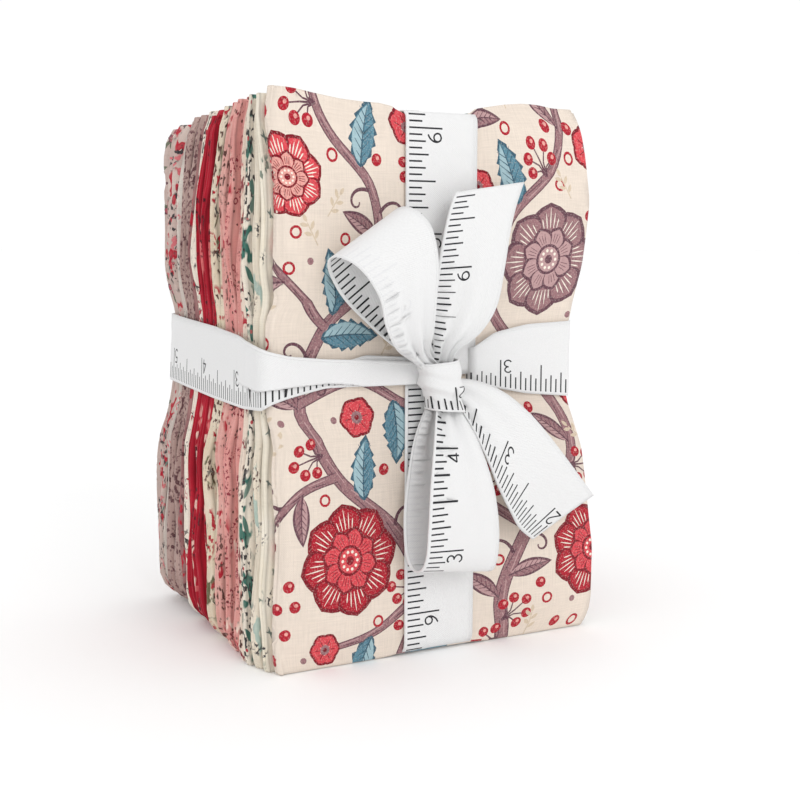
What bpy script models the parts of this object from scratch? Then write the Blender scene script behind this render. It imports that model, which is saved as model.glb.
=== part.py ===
"""A bundle of folded cotton fat eighths standing on end, tied both ways with a printed tape ribbon.

Run in Blender 4.5. The stack is modelled from the front face, y = 0, backwards. Its printed face looks
towards -Y, the folded edges are on the -X side, and +Z is up. At the end the origin is set under the middle
of the whole bundle. Sizes below are in millimetres.
"""

from collections import namedtuple
from math import cos, pi, sin, sqrt

import bmesh
import bpy
from mathutils import Vector

MM = 0.001

# Clearances and cloth
GAP = 0.3  # between pieces that touch
SLIT = 0.36  # between the two leaves of one fabric
TAPE = 1.0  # thickness of the ribbon
TAPE_HALF = 10.0  # half the ribbon's width
TAPE_X = 0.5  # middle of the upright ribbon
TAPE_MARGIN = 0.2  # kept free at each edge of the ribbon's notch
RIBBON_CLEAR = GAP + TAPE / 2 + 0.12  # from the stack to the middle of the ribbon's thickness

# Heights
TOP = 136.5  # usual top of a fabric
TOP_NOTCH = 133.2  # top of the fabrics under the ribbon
FRONT_NOTCH = 135.1  # the same on the front fabric, which stands taller
BOTTOM_NOTCH = 1.9  # bottom of the fabrics over the ribbon
BAND_LOW = 64.0  # the level ribbon's lower and upper edge
BAND_HIGH = 84.0

# The stack's outline at each height: its left side at the front and at the back, its right side, then how far
# back four seams between groups of fabrics lie, and the back face.
Level = namedtuple("Level", "z left_front left_back right pinks reds mauves greys back")
LEVELS = (
    Level(0.0, -46.4, -47.0, 48.6, 17.2, 39.2, 52.4, 73.6, 81.6),
    Level(8.0, -47.3, -48.2, 49.4, 16.6, 38.6, 52.8, 73.8, 82.6),
    Level(22.0, -47.6, -48.6, 49.6, 15.8, 38.2, 53.4, 74.2, 83.4),
    Level(50.0, -46.8, -47.4, 45.0, 15.6, 41.0, 54.4, 70.8, 81.8),
    Level(64.0, -45.9, -43.6, 39.3, 17.2, 39.8, 51.8, 66.8, 77.2),
    Level(84.0, -45.9, -42.4, 39.6, 18.6, 38.0, 47.4, 62.4, 76.2),
    Level(98.0, -46.3, -45.2, 43.6, 17.2, 36.4, 46.6, 61.4, 78.4),
    Level(115.0, -46.4, -46.0, 45.6, 13.4, 33.0, 43.2, 58.6, 79.0),
    Level(128.0, -45.8, -45.6, 44.0, 12.0, 29.8, 40.0, 56.6, 77.4),
    Level(142.0, -45.2, -45.0, 41.0, 11.4, 27.2, 37.2, 55.0, 75.4),
)
GROUP_ENDS = (0, 5, 11, 15, 19, 22)  # fabrics counted up to each seam

# One row for each fabric, front to back. "seam" moves its rear seam, in parts of a fabric, "left" and "right"
# push its ends out, and "top" adds to its height.
Fabric = namedtuple("Fabric", "colour seam left right top")
FABRICS = (
    Fabric("floral", 0.10, 0.0, 0.0, 2.1),
    Fabric("ivory", -0.05, 0.9, -0.6, 0.2),
    Fabric("ivory", 0.12, 0.2, 0.4, -0.3),
    Fabric("teal", -0.10, 0.8, -0.2, 0.3),
    Fabric("rose_ivory", 0.00, 0.3, 0.5, -0.2),
    Fabric("pink", 0.10, -0.3, -0.4, 0.4),
    Fabric("pink", -0.12, 0.6, 0.3, 0.1),
    Fabric("rose", 0.08, 0.1, -0.7, -0.5),
    Fabric("rose_ivory", 0.14, 0.7, 0.6, 0.1),
    Fabric("tan", -0.08, -0.1, -0.2, -0.4),
    Fabric("tan", 0.00, 0.6, 0.4, 0.0),
    Fabric("red", 0.12, -0.2, -0.5, 0.3),
    Fabric("red", -0.10, 0.7, 0.2, 0.1),
    Fabric("red", 0.06, 0.2, 0.5, 0.5),
    Fabric("red", 0.00, 0.9, -0.3, -0.2),
    Fabric("ivory", 0.15, 0.0, 0.3, 0.2),
    Fabric("mauve", -0.12, 0.7, -0.6, -0.4),
    Fabric("mauve", 0.10, 0.1, 0.2, 0.3),
    Fabric("mauve", 0.00, 0.8, 0.5, -0.1),
    Fabric("grey", -0.10, 0.2, -0.2, 0.2),
    Fabric("grey", 0.12, 0.8, 0.3, -0.3),
    Fabric("rose_grey", 0.00, 0.0, 0.0, -0.1),
)

# Corners and faces
LEFT_CORNER = 1.6  # corner radius of the front fabric's fold
LEFT_CORNER_GROWTH = 6.4  # added to it at the back of the stack
RIGHT_CORNER = 4.0
FOLD_STEPS = 4
PILLOW = 1.5  # how far the faces swell between the ribbons
PILLOW_RISE = 12.0  # over which they swell
PILLOW_CLEAR = 1.0  # flat strip beside a ribbon, before they swell
EDGE_TUCK = 1.0  # how far the faces turn in at the top and bottom
TUCK_SHARE = 1 / 3  # the tuck's height as a share of PILLOW_RISE
PINCH_FADE = 14.0  # above and below the level ribbon, where the fabrics are still held even
END_ROWS = (2.6, 4.0)  # height of the lowest inner row, and of the highest below a fabric's top
TOP_RISE = ((-46.0, 0.0), (-14.0, -0.7), (14.0, 0.0), (28.0, 2.0), (36.0, 2.0), (41.0, 1.2))
NOTCH_EDGE = 3.0  # width of the slope beside the ribbon's notch
FACE_X = (-40.0, -31.0, -21.0, 21.0, 29.0, 36.0)  # extra columns on the front and back faces
FACE_Z = (36.0, 60.0, 88.0, 106.0)  # extra rows there

COLOURS = {
    "floral": (0.88, 0.80, 0.69),
    "ivory": (0.84, 0.79, 0.69),
    "teal": (0.62, 0.68, 0.60),
    "rose_ivory": (0.83, 0.67, 0.60),
    "pink": (0.78, 0.44, 0.42),
    "rose": (0.60, 0.28, 0.27),
    "tan": (0.72, 0.62, 0.48),
    "red": (0.48, 0.02, 0.05),
    "mauve": (0.42, 0.28, 0.30),
    "grey": (0.62, 0.58, 0.55),
    "rose_grey": (0.66, 0.48, 0.48),
    "tape": (0.88, 0.88, 0.88),
}


def clear_scene():
    """Removes what the file opened with."""
    for obj in list(bpy.data.objects):
        bpy.data.objects.remove(obj, do_unlink=True)


def along(rows, key, value):
    """Reads a table of (place, number) pairs at a place, in straight lines between its rows."""
    low = rows[0]
    for high in rows[1:]:
        if key <= high[0] or high is rows[-1]:
            share = (key - low[0]) / (high[0] - low[0])
            return value(low) + (value(high) - value(low)) * share
        low = high


def clamp(value):
    return max(0.0, min(1.0, value))


def swell(distance):
    """0 up to a line, rising smoothly to 1 past PILLOW_RISE."""
    share = clamp(distance / PILLOW_RISE)
    return share * share * (3 - 2 * share)


def level(name, z):
    """One column of LEVELS at a height."""
    return along(LEVELS, z, lambda row: getattr(row, name))


def seam_y(count, z):
    """How far back the seam after a number of fabrics lies, at a height."""
    groups = (0.0, *(level(name, z) for name in ("pinks", "reds", "mauves", "greys", "back")))
    return along(tuple(zip(GROUP_ENDS, groups)), count, lambda row: row[1])


def pinch(z):
    """1 where the level ribbon holds the fabrics even, 0 well away from it."""
    away = max(BAND_LOW - z, z - BAND_HIGH, 0.0)
    return 1.0 - clamp(away / PINCH_FADE)


def corner(radius, distance):
    """How far a round corner draws in at a distance from its end."""
    if distance >= radius:
        return 0.0
    return radius - sqrt(radius**2 - (radius - distance) ** 2)


def notch(x):
    """1 under the upright ribbon, 0 beside it, with a short slope."""
    return 1.0 - clamp((abs(x - TAPE_X) - TAPE_HALF) / NOTCH_EDGE)


def face_swell(x, z, left, right, top):
    """How far the front or back face stands out of its plane."""
    beside_tape = swell(abs(x - TAPE_X) - TAPE_HALF - PILLOW_CLEAR)
    off_band = swell(max(BAND_LOW - z, z - BAND_HIGH) - PILLOW_CLEAR)
    from_sides = swell(min(x - left, right - x))
    from_ends = swell(min(z, top - z))
    tuck = EDGE_TUCK * (1.0 - swell(min(z, top - z) / TUCK_SHARE))
    return PILLOW * beside_tape * off_band * from_sides * from_ends - tuck


class FoldedFabric:
    """One fabric: two leaves joined by a round fold on the left, its section a hairpin."""

    def __init__(self, index):
        row = FABRICS[index]
        self.row = row
        self.front_end = index == 0
        self.back_end = index == len(FABRICS) - 1
        before = FABRICS[index - 1].seam if index else 0.0
        self.front_seam = index + (before if index not in GROUP_ENDS else 0.0)
        self.back_seam = index + 1 + (row.seam if index + 1 not in GROUP_ENDS else 0.0)
        self.top = TOP + row.top
        self.verts = []
        self.faces = []

    def front(self, z):
        return seam_y(self.front_seam, z) + GAP / 2

    def back(self, z):
        return seam_y(self.back_seam, z) - GAP / 2

    def left(self, z):
        depth = clamp(self.front(z) / level("back", z))
        edge = level("left_front", z) * (1 - depth) + level("left_back", z) * depth
        radius = LEFT_CORNER + LEFT_CORNER_GROWTH * depth
        from_end = min(z, self.top - z)
        return edge - self.row.left * (1 - pinch(z)) + corner(radius, max(from_end, 0.0))

    def right(self, z):
        from_end = max(min(z, self.top - z), 0.0)
        return level("right", z) + self.row.right * (1 - pinch(z)) - corner(RIGHT_CORNER, from_end)

    def heights(self):
        """The rows of the mesh, the front and back fabrics with more of them."""
        inner = [row.z for row in LEVELS[1:-1]]
        if self.front_end or self.back_end:
            inner += list(FACE_Z)
        return [0.0, END_ROWS[0], *sorted(inner), self.top - END_ROWS[1], self.top]

    def columns(self, z):
        """The places across a row that the notches and the faces need."""
        half = self.half(z)
        edges = [TAPE_X + side * (TAPE_HALF + out) for side in (-1, 1) for out in (0.0, NOTCH_EDGE)]
        if self.front_end or self.back_end:
            edges += [*FACE_X, TAPE_X]
        return [self.left(z) + half, *sorted(edges), self.right(z)]

    def half(self, z):
        return (self.back(z) - self.front(z)) / 2

    def end_height(self, x, z):
        """Where a point of the top or bottom row lies, with the ribbon's notch."""
        if z == 0.0:
            return BOTTOM_NOTCH * notch(x)
        under = FRONT_NOTCH if self.front_end else TOP_NOTCH
        beside = z + along(TOP_RISE, x, lambda row: row[1])
        return beside + (under - beside) * notch(x)

    def add(self, x, y, z):
        self.verts.append((x * MM, y * MM, z * MM))
        return len(self.verts) - 1

    def side(self, z, is_end, y, face=0):
        """A row of points from the fold to the right end. face is -1 or 1 on the bundle's own faces."""
        full = is_end or face != 0
        columns = self.columns(z)
        places = columns if full else [columns[0], columns[-1]]
        row = []
        for x in places:
            height = self.end_height(x, z) if is_end else z
            out = face * face_swell(x, z, places[0], places[-1], self.top) if face else 0.0
            row.append(self.add(x, y(height) + out, height))
        return row

    def ring(self, z, is_end):
        """The hairpin's points at one height: outer front, fold, outer back, then the two inner sides."""
        half = self.half(z)
        centre = self.left(z) + half

        def middle(height):
            return (self.front(height) + self.back(height)) / 2

        front = self.side(z, is_end, self.front, -1 if self.front_end else 0)
        back = self.side(z, is_end, self.back, 1 if self.back_end else 0)
        fold = []
        for step in range(1, FOLD_STEPS):
            angle = pi * step / FOLD_STEPS
            fold.append(self.add(centre - half * sin(angle), middle(z) - half * cos(angle), z))
        apex = self.add(centre - SLIT, middle(z), z)
        inner_front = self.side(z, is_end, lambda height: middle(height) - SLIT / 2)
        inner_back = self.side(z, is_end, lambda height: middle(height) + SLIT / 2)
        return front, fold, back, inner_front, apex, inner_back

    def skin(self, low, high, flip):
        """Faces between two rows of points, one face where the rows have different counts."""
        if len(low) == len(high):
            found = [(low[i], low[i + 1], high[i + 1], high[i]) for i in range(len(low) - 1)]
        else:
            found = [(*low, *reversed(high))]
        self.faces += [tuple(reversed(face)) for face in found] if flip else found

    def cap(self, ring, flip):
        front, fold, back, inner_front, apex, inner_back = ring
        self.skin(front, inner_front, flip)
        self.skin(inner_back, back, flip)
        bend = [front[0], *fold, back[0]]
        partners = [inner_front[0], apex, apex, apex, inner_back[0]]
        for i in range(len(bend) - 1):
            corners = [bend[i + 1], bend[i], partners[i], partners[i + 1]]
            face = tuple(dict.fromkeys(corners))
            self.faces.append(tuple(reversed(face)) if flip else face)

    def build(self):
        heights = self.heights()
        ends = (heights[0], heights[-1])
        rings = [self.ring(z, z in ends) for z in heights]
        for low, high in zip(rings, rings[1:]):
            bend_low = [low[2][0], *reversed(low[1]), low[0][0]]
            bend_high = [high[2][0], *reversed(high[1]), high[0][0]]
            slit_low = [low[3][0], low[4], low[5][0]]
            slit_high = [high[3][0], high[4], high[5][0]]
            self.skin(low[0], high[0], False)
            self.skin(bend_low, bend_high, False)
            self.skin(low[2], high[2], True)
            self.skin(low[3], high[3], True)
            self.skin(slit_low, slit_high, False)
            self.skin(low[5], high[5], False)
            self.skin([low[0][-1], low[3][-1]], [high[0][-1], high[3][-1]], False)
            self.skin([low[5][-1], low[2][-1]], [high[5][-1], high[2][-1]], False)
        self.cap(rings[0], True)
        self.cap(rings[-1], False)
        mesh = bpy.data.meshes.new("fabric")
        mesh.from_pydata(self.verts, [], self.faces)
        tidy(mesh)
        return mesh


def tidy(mesh):
    """Cuts faces with many corners into triangles and turns all faces outwards."""
    work = bmesh.new()
    work.from_mesh(mesh)
    bmesh.ops.triangulate(work, faces=[face for face in work.faces if len(face.verts) > 4])
    bmesh.ops.recalc_face_normals(work, faces=work.faces)
    work.to_mesh(mesh)
    work.free()
    mesh.shade_smooth()
    mesh.set_sharp_from_angle(angle=0.9)


def material(name):
    """A plain matt cloth of one of the bundle's colours."""
    found = bpy.data.materials.get(name)
    if found:
        return found
    made = bpy.data.materials.new(name)
    made.use_nodes = True
    shader = made.node_tree.nodes["Principled BSDF"]
    shader.inputs["Base Color"].default_value = (*COLOURS[name], 1.0)
    shader.inputs["Roughness"].default_value = 0.85
    shader.inputs["Metallic"].default_value = 0.0
    return made


def add_object(name, mesh, colour):
    mesh.materials.append(material(colour))
    obj = bpy.data.objects.new(name, mesh)
    bpy.context.scene.collection.objects.link(obj)
    return obj


def smooth_rows(rows, steps):
    """Points on a smooth curve through rows of points, steps for each stretch."""
    found = []
    for i in range(len(rows) - 1):
        before, start, end = rows[max(i - 1, 0)], rows[i], rows[i + 1]
        after = rows[min(i + 2, len(rows) - 1)]
        for step in range(steps):
            t = step / steps
            found.append(
                [
                    0.5
                    * (
                        2 * b
                        + (c - a) * t
                        + (2 * a - 5 * b + 4 * c - d) * t**2
                        + (3 * b - a - 3 * c + d) * t**3
                    )
                    for a, b, c, d in zip(before, start, end, after)
                ]
            )
    found.append(list(rows[-1]))
    return found


def ribbon(name, rows, steps=2, across=2):
    """A strip of tape through rows of left edge and right edge points, given as x, y, z and x, y, z."""
    verts = []
    for row in smooth_rows(rows, steps):
        left, right = Vector(row[:3]) * MM, Vector(row[3:]) * MM
        verts += [left.lerp(right, i / across) for i in range(across + 1)]
    width = across + 1
    faces = []
    for start in range(0, len(verts) - width, width):
        for i in range(across):
            faces.append((start + i, start + i + 1, start + width + i + 1, start + width + i))
    mesh = bpy.data.meshes.new(name)
    mesh.from_pydata(verts, [], faces)
    mesh.shade_smooth()
    obj = add_object(name, mesh, "tape")
    thick = obj.modifiers.new("thickness", "SOLIDIFY")
    thick.thickness = TAPE * MM
    thick.offset = 0.0
    thick.use_even_offset = True
    return obj


# The bow. Each row is a place along the tape: one edge, then the other edge.
Edge = namedtuple("Edge", "x1 y1 z1 x2 y2 z2")

UPPER_LOOP = (
    Edge(-10.8, -8.2, 75.2, -7.6, -9.2, 78.2),
    Edge(-17.6, -12.6, 78.8, -8.8, -13.0, 84.0),
    Edge(-21.8, -15.0, 84.6, -9.0, -15.0, 92.0),
    Edge(-24.0, -15.8, 91.5, -8.6, -15.0, 100.2),
    Edge(-28.4, -15.0, 97.8, -9.6, -13.6, 107.8),
    Edge(-32.0, -12.0, 100.6, -13.0, -11.4, 111.8),
    Edge(-33.0, -7.8, 100.2, -15.4, -8.0, 112.0),
    Edge(-31.6, -4.6, 97.0, -15.4, -5.2, 109.4),
    Edge(-27.4, -3.4, 90.8, -12.0, -4.4, 103.0),
    Edge(-20.9, -3.2, 84.6, -8.4, -4.2, 94.0),
    Edge(-14.8, -4.0, 79.4, -6.8, -4.6, 86.6),
    Edge(-9.6, -5.4, 76.6, -5.2, -5.6, 80.4),
)
LOWER_LOOP = (
    Edge(-6.6, -8.4, 62.6, 0.4, -8.6, 62.0),
    Edge(-8.4, -12.0, 56.0, 4.2, -12.2, 55.4),
    Edge(-9.6, -13.8, 46.0, 8.0, -14.0, 45.4),
    Edge(-9.9, -13.6, 36.0, 9.8, -13.8, 36.0),
    Edge(-9.9, -12.6, 28.6, 10.4, -12.8, 27.6),
    Edge(-10.2, -10.2, 24.8, 10.4, -10.4, 22.8),
    Edge(-11.0, -7.0, 24.6, 9.4, -7.2, 22.6),
    Edge(-11.6, -4.8, 28.8, 8.6, -4.8, 27.4),
    Edge(-11.2, -3.6, 38.0, 8.0, -3.6, 37.4),
    Edge(-9.8, -3.4, 48.0, 6.0, -3.4, 48.0),
    Edge(-8.0, -3.4, 56.4, 3.0, -3.4, 56.4),
    Edge(-6.6, -3.8, 62.4, 0.6, -3.8, 62.4),
)
UPPER_TAIL = (
    Edge(-4.4, -6.2, 78.6, 0.8, -7.0, 78.2),
    Edge(-5.6, -7.6, 84.0, 6.6, -9.4, 82.6),
    Edge(-5.8, -8.4, 90.0, 11.0, -9.6, 89.0),
    Edge(-5.0, -8.6, 97.6, 13.8, -8.6, 98.6),
    Edge(-3.4, -8.0, 104.6, 16.2, -7.0, 106.4),
    Edge(-1.4, -7.0, 110.8, 18.6, -5.8, 112.8),
    Edge(0.9, -6.4, 116.2, 21.2, -5.4, 119.2),
)
LOWER_TAIL = (
    Edge(4.8, -6.4, 70.6, 2.4, -7.6, 63.0),
    Edge(9.4, -7.4, 69.6, 4.6, -9.4, 58.2),
    Edge(16.0, -8.2, 66.2, 7.8, -10.6, 51.2),
    Edge(22.8, -8.8, 60.4, 11.6, -10.6, 43.4),
    Edge(30.0, -8.4, 53.0, 15.8, -9.6, 36.8),
    Edge(37.0, -7.2, 45.6, 19.6, -8.2, 31.8),
    Edge(44.2, -6.0, 37.8, 24.4, -7.0, 28.2),
)

# Level ribbon: places round the stack, on one of its sides, with the ribbon's lower and upper edge there.
Round = namedtuple("Round", "side place low high lift")
AROUND = (
    Round("front", -9.6, 69.6, 75.4, 1.5),
    Round("front", -20.0, 69.6, 76.0, 0.1),
    Round("front", -31.0, 69.6, 76.6, 0.0),
    Round("front", -40.5, 67.6, 77.6, 0.0),
    Round("front", -45.2, 66.2, 78.8, 0.0),
    Round("left", 1.0, 64.8, 79.8, 0.0),
    Round("left", 14.0, 63.8, 81.2, 0.0),
    Round("left", 36.0, 64.0, 82.6, 0.0),
    Round("left", 60.0, 64.8, 83.4, 0.0),
    Round("left", 76.1, 65.2, 84.0, 0.0),
    Round("back", -42.9, 65.2, 84.0, 0.0),
    Round("back", -10.0, 64.6, 84.0, 0.0),
    Round("back", 12.0, 64.2, 84.0, 0.0),
    Round("back", 39.9, 64.0, 84.0, 0.0),
    Round("right", 76.6, 64.0, 84.0, 0.0),
    Round("right", 40.0, 64.0, 84.0, 0.0),
    Round("right", 0.0, 64.0, 84.0, 0.0),
    Round("front", 39.6, 64.0, 83.9, 0.0),
    Round("front", 26.0, 65.4, 83.4, 0.1),
    Round("front", 16.0, 67.4, 81.6, 0.5),
    Round("front", 8.6, 69.4, 78.0, 2.1),
    Round("front", 5.2, 70.4, 75.6, 3.3),
)

# Upright ribbon: from behind the knot up the front, over the top, down the back and under the stack.
Over = namedtuple("Over", "side place lift")
OVER = (
    Over("front", 71.0, 0.0),
    Over("front", 92.0, 0.0),
    Over("front", 110.0, 0.0),
    Over("front", 125.0, 0.0),
    Over("front", 134.9, 0.0),
    Over("brow", 0.2, 0.0),
    Over("brow", 3.6, 0.0),
    Over("top", 8.0, 0.0),
    Over("top", 30.0, 0.0),
    Over("top", 55.0, 0.0),
    Over("top", 75.6, 0.0),
    Over("back", 133.2, 0.0),
    Over("back", 128.0, 0.0),
    Over("back", 115.0, 0.0),
    Over("back", 98.0, 0.6),
    Over("back", 85.0, 1.7),
    Over("back", 63.0, 1.7),
    Over("back", 50.0, 0.3),
    Over("back", 22.0, 0.0),
    Over("back", 8.0, 0.0),
    Over("back", 2.4, 0.0),
    Over("bottom", 81.2, 0.0),
    Over("bottom", 55.0, 0.0),
    Over("bottom", 30.0, 0.0),
    Over("bottom", 0.2, 0.0),
    Over("front", 2.2, 0.0),
    Over("front", 8.0, 0.0),
    Over("front", 22.0, 0.0),
    Over("front", 42.0, 0.0),
    Over("front", 70.0, 0.0),
)


def off_side(side, place, z, lift):
    """A point of the level ribbon's middle, just off one side of the stack at a height."""
    clear = RIBBON_CLEAR + lift
    if side == "front":
        return place, -clear
    if side == "back":
        return place, level("back", z) + clear
    if side == "right":
        return level("right", z) + clear, place
    depth = clamp(place / level("back", z))
    return level("left_front", z) * (1 - depth) + level("left_back", z) * depth - clear, place


def off_end(side, place, lift):
    """A point of the upright ribbon's middle, as y and z. The brow is the front fabric's top."""
    clear = RIBBON_CLEAR + lift
    if side == "front":
        return -clear, place
    if side == "back":
        return level("back", place) + clear, place
    if side == "bottom":
        return place, BOTTOM_NOTCH - clear
    return place, (FRONT_NOTCH if side == "brow" else TOP_NOTCH) + clear


# Knot: half widths and depths of its turns, by height.
Turn = namedtuple("Turn", "z centre half_x front back")
KNOT = (
    Turn(63.3, -2.6, 3.6, -7.4, -3.0),
    Turn(64.6, -2.7, 5.2, -9.4, -2.0),
    Turn(67.6, -2.7, 6.0, -10.4, -1.8),
    Turn(70.4, -2.5, 5.7, -10.0, -1.8),
    Turn(73.4, -2.4, 6.0, -10.3, -1.8),
    Turn(76.2, -2.3, 5.0, -9.0, -2.0),
    Turn(77.4, -2.3, 3.4, -7.2, -3.0),
)
KNOT_SIDES = 14
KNOT_CREASE = 0.05  # depth of its three creases, as a share of its radius
KNOT_SQUARE = 0.72  # 1 is a round section, less is squarer


def build_knot():
    """The knot: a squat, creased lump of tape, drawn in between its turns."""
    verts = []
    for turn in KNOT:
        middle, half_y = (turn.front + turn.back) / 2, (turn.back - turn.front) / 2
        for step in range(KNOT_SIDES):
            angle = 2 * pi * step / KNOT_SIDES
            crease = 1.0 + KNOT_CREASE * cos(3 * angle)
            x = turn.centre + turn.half_x * crease * squarish(cos(angle))
            verts.append((x * MM, (middle + half_y * squarish(sin(angle))) * MM, turn.z * MM))
    faces = []
    for ring in range(len(KNOT) - 1):
        for step in range(KNOT_SIDES):
            low = ring * KNOT_SIDES + step
            next_low = ring * KNOT_SIDES + (step + 1) % KNOT_SIDES
            faces.append((low, next_low, next_low + KNOT_SIDES, low + KNOT_SIDES))
    faces.append(tuple(range(KNOT_SIDES)))
    faces.append(tuple(range(len(verts) - KNOT_SIDES, len(verts))))
    mesh = bpy.data.meshes.new("bow_knot")
    mesh.from_pydata(verts, [], faces)
    tidy(mesh)
    return add_object("bow_knot", mesh, "tape")


def squarish(value):
    """A cosine or sine pushed out towards a square's sides."""
    return (1 if value >= 0 else -1) * abs(value) ** KNOT_SQUARE


def build_fabrics():
    for index, row in enumerate(FABRICS):
        mesh = FoldedFabric(index).build()
        add_object(f"fabric_{index + 1:02d}", mesh, row.colour)


def build_ribbon():
    around = []
    for row in AROUND:
        low, high = (off_side(row.side, row.place, z, row.lift) for z in (row.low, row.high))
        around.append((*low, row.low, *high, row.high))
    ribbon("ribbon_around", around, steps=1, across=2)
    left, right = TAPE_X - TAPE_HALF + TAPE_MARGIN, TAPE_X + TAPE_HALF - TAPE_MARGIN
    over = []
    for row in OVER:
        y, z = off_end(row.side, row.place, row.lift)
        over.append((left, y, z, right, y, z))
    ribbon("ribbon_over", over, steps=1, across=1)
    ribbon("bow_loop_upper", UPPER_LOOP)
    ribbon("bow_loop_lower", LOWER_LOOP)
    ribbon("bow_tail_upper", UPPER_TAIL)
    ribbon("bow_tail_lower", LOWER_TAIL)
    build_knot()


def set_origin():
    """Moves every piece so that the origin lies under the middle of the bundle's box."""
    bpy.context.view_layer.update()
    depsgraph = bpy.context.evaluated_depsgraph_get()
    low, high = Vector((9.0, 9.0, 9.0)), Vector((-9.0, -9.0, -9.0))
    for obj in bpy.context.scene.objects:
        mesh = obj.evaluated_get(depsgraph).to_mesh()
        for vertex in mesh.vertices:
            low = Vector(map(min, low, vertex.co))
            high = Vector(map(max, high, vertex.co))
        obj.evaluated_get(depsgraph).to_mesh_clear()
    middle = Vector(((low.x + high.x) / 2, (low.y + high.y) / 2, low.z))
    for obj in bpy.context.scene.objects:
        obj.location = -middle


def main():
    clear_scene()
    build_fabrics()
    build_ribbon()
    set_origin()


main()
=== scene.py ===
"""A bundle of folded cotton fat eighths, tied both ways with a printed tape and a bow.

Sizes are in millimetres until a mesh is made. The stack's own measures count from its front face backwards
and from the middle of its width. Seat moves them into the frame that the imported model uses.
"""

import logging
from dataclasses import dataclass, field
from enum import Enum
from math import atan2, cos, degrees, hypot, pi, radians, sin
from typing import Callable, Sequence

import bpy
import numpy as np
from mathutils import Matrix, Vector, geometry
from mathutils.bvhtree import BVHTree


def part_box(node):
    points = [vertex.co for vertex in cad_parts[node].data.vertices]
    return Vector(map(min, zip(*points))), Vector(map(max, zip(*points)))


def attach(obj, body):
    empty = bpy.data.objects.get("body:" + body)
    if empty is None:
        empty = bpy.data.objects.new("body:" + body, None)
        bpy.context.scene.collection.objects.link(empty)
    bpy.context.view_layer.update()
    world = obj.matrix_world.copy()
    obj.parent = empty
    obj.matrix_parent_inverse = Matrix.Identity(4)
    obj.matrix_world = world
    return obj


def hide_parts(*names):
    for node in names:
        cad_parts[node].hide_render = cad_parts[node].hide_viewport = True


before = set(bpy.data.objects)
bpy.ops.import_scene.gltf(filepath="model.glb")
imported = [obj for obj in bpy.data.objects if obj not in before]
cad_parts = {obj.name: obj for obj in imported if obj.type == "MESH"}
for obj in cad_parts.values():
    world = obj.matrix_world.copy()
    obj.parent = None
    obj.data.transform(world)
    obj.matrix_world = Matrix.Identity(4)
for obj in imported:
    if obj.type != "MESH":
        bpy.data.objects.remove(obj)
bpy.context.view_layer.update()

MM = 0.001
LOG = logging.getLogger("bundle")
Point = tuple[float, float]
Row = Sequence[float]

# The stack
HEIGHT = 136.5  # usual height of a folded fabric
FABRICS = 22
PLIES = 4  # nested plies in each fabric, every one with a front and a back leaf
CLOTH = 0.2  # thickness of the cotton
THREADS = 0.42  # distance between two of its threads
TAPE = 0.36  # thickness of the tape
TAPE_WIDE = 20.0
PRINTED = 7.0  # the tape's strip that holds its marks
TAPE_X = 0.5  # middle of the upright tape
BAND = (64.0, 84.0)  # the level tape's lower and upper edge
SOLID_TAPE = 1.0  # thickness of the tape's solids
TAPE_PROUD = 1.42  # how far the upright tape's solid stands out of the stack's front
INCH = 25.4
PRINT_SHADE = 0.88  # darkens the inks a little, because the key lamp lifts them


def smooth(values: np.ndarray, step: float, sigma: float) -> np.ndarray:
    """Evens out values that lie a step apart.

    Args:
        values: the values, the last axis running along the line.
        step: distance between them.
        sigma: width of the averaging bell, in the same unit.

    Returns:
        The smoothed values.
    """
    reach = int(np.ceil(3 * sigma / step))
    bell = np.exp(-0.5 * (np.arange(-reach, reach + 1) * step / sigma) ** 2)
    bell /= bell.sum()
    ends = [(0, 0)] * (values.ndim - 1) + [(reach, reach)]
    padded = np.pad(values, ends, mode="edge")
    return np.apply_along_axis(lambda line: np.convolve(line, bell, "valid"), -1, padded)


def ramp(value: np.ndarray, low: float, high: float) -> np.ndarray:
    """A smooth rise from 0 at low to 1 at high, read at a value."""
    share = np.clip((np.asarray(value, float) - low) / (high - low), 0.0, 1.0)
    return share * share * (3 - 2 * share)


def off(root: Point, angle: float, reach: float) -> Point:
    """The point that lies at a reach from another, at an angle in degrees from the x axis."""
    return root[0] + reach * cos(radians(angle)), root[1] + reach * sin(radians(angle))


def distances(points: np.ndarray) -> np.ndarray:
    """How far along a line each of its points lies."""
    return np.concatenate([[0.0], np.cumsum(np.linalg.norm(np.diff(points, axis=0), axis=1))])


@dataclass(frozen=True)
class Wave:
    """A smooth random line: a few sines of like length, always the same for the same seed."""

    seed: int
    size: float
    length: float
    parts: int = 4

    def __call__(self, place: np.ndarray) -> np.ndarray:
        """Reads the line.

        Args:
            place: distance along the line, in millimetres.

        Returns:
            Its height there, seldom more than size.
        """
        draw = np.random.default_rng(self.seed)
        total = np.zeros_like(np.asarray(place, float))
        for _ in range(self.parts):
            length = self.length * draw.uniform(0.55, 1.7)
            total = total + np.sin(2 * pi * (place / length + draw.uniform()))
        return self.size * total / self.parts**0.5


class Seat:
    """Where the stack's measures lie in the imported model's frame."""

    def __init__(self) -> None:
        """Reads the shift off the upright tape's solid."""
        low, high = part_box("ribbon_over")
        self.x = 1000 * (low[0] + high[0]) / 2 - TAPE_X
        self.y = 1000 * low[1] + TAPE_PROUD

    def metres(self, points: np.ndarray) -> np.ndarray:
        """Rows of the stack's x, y, z in millimetres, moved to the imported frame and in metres."""
        return (np.asarray(points, float) + (self.x, self.y, 0.0)) * MM


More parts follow.
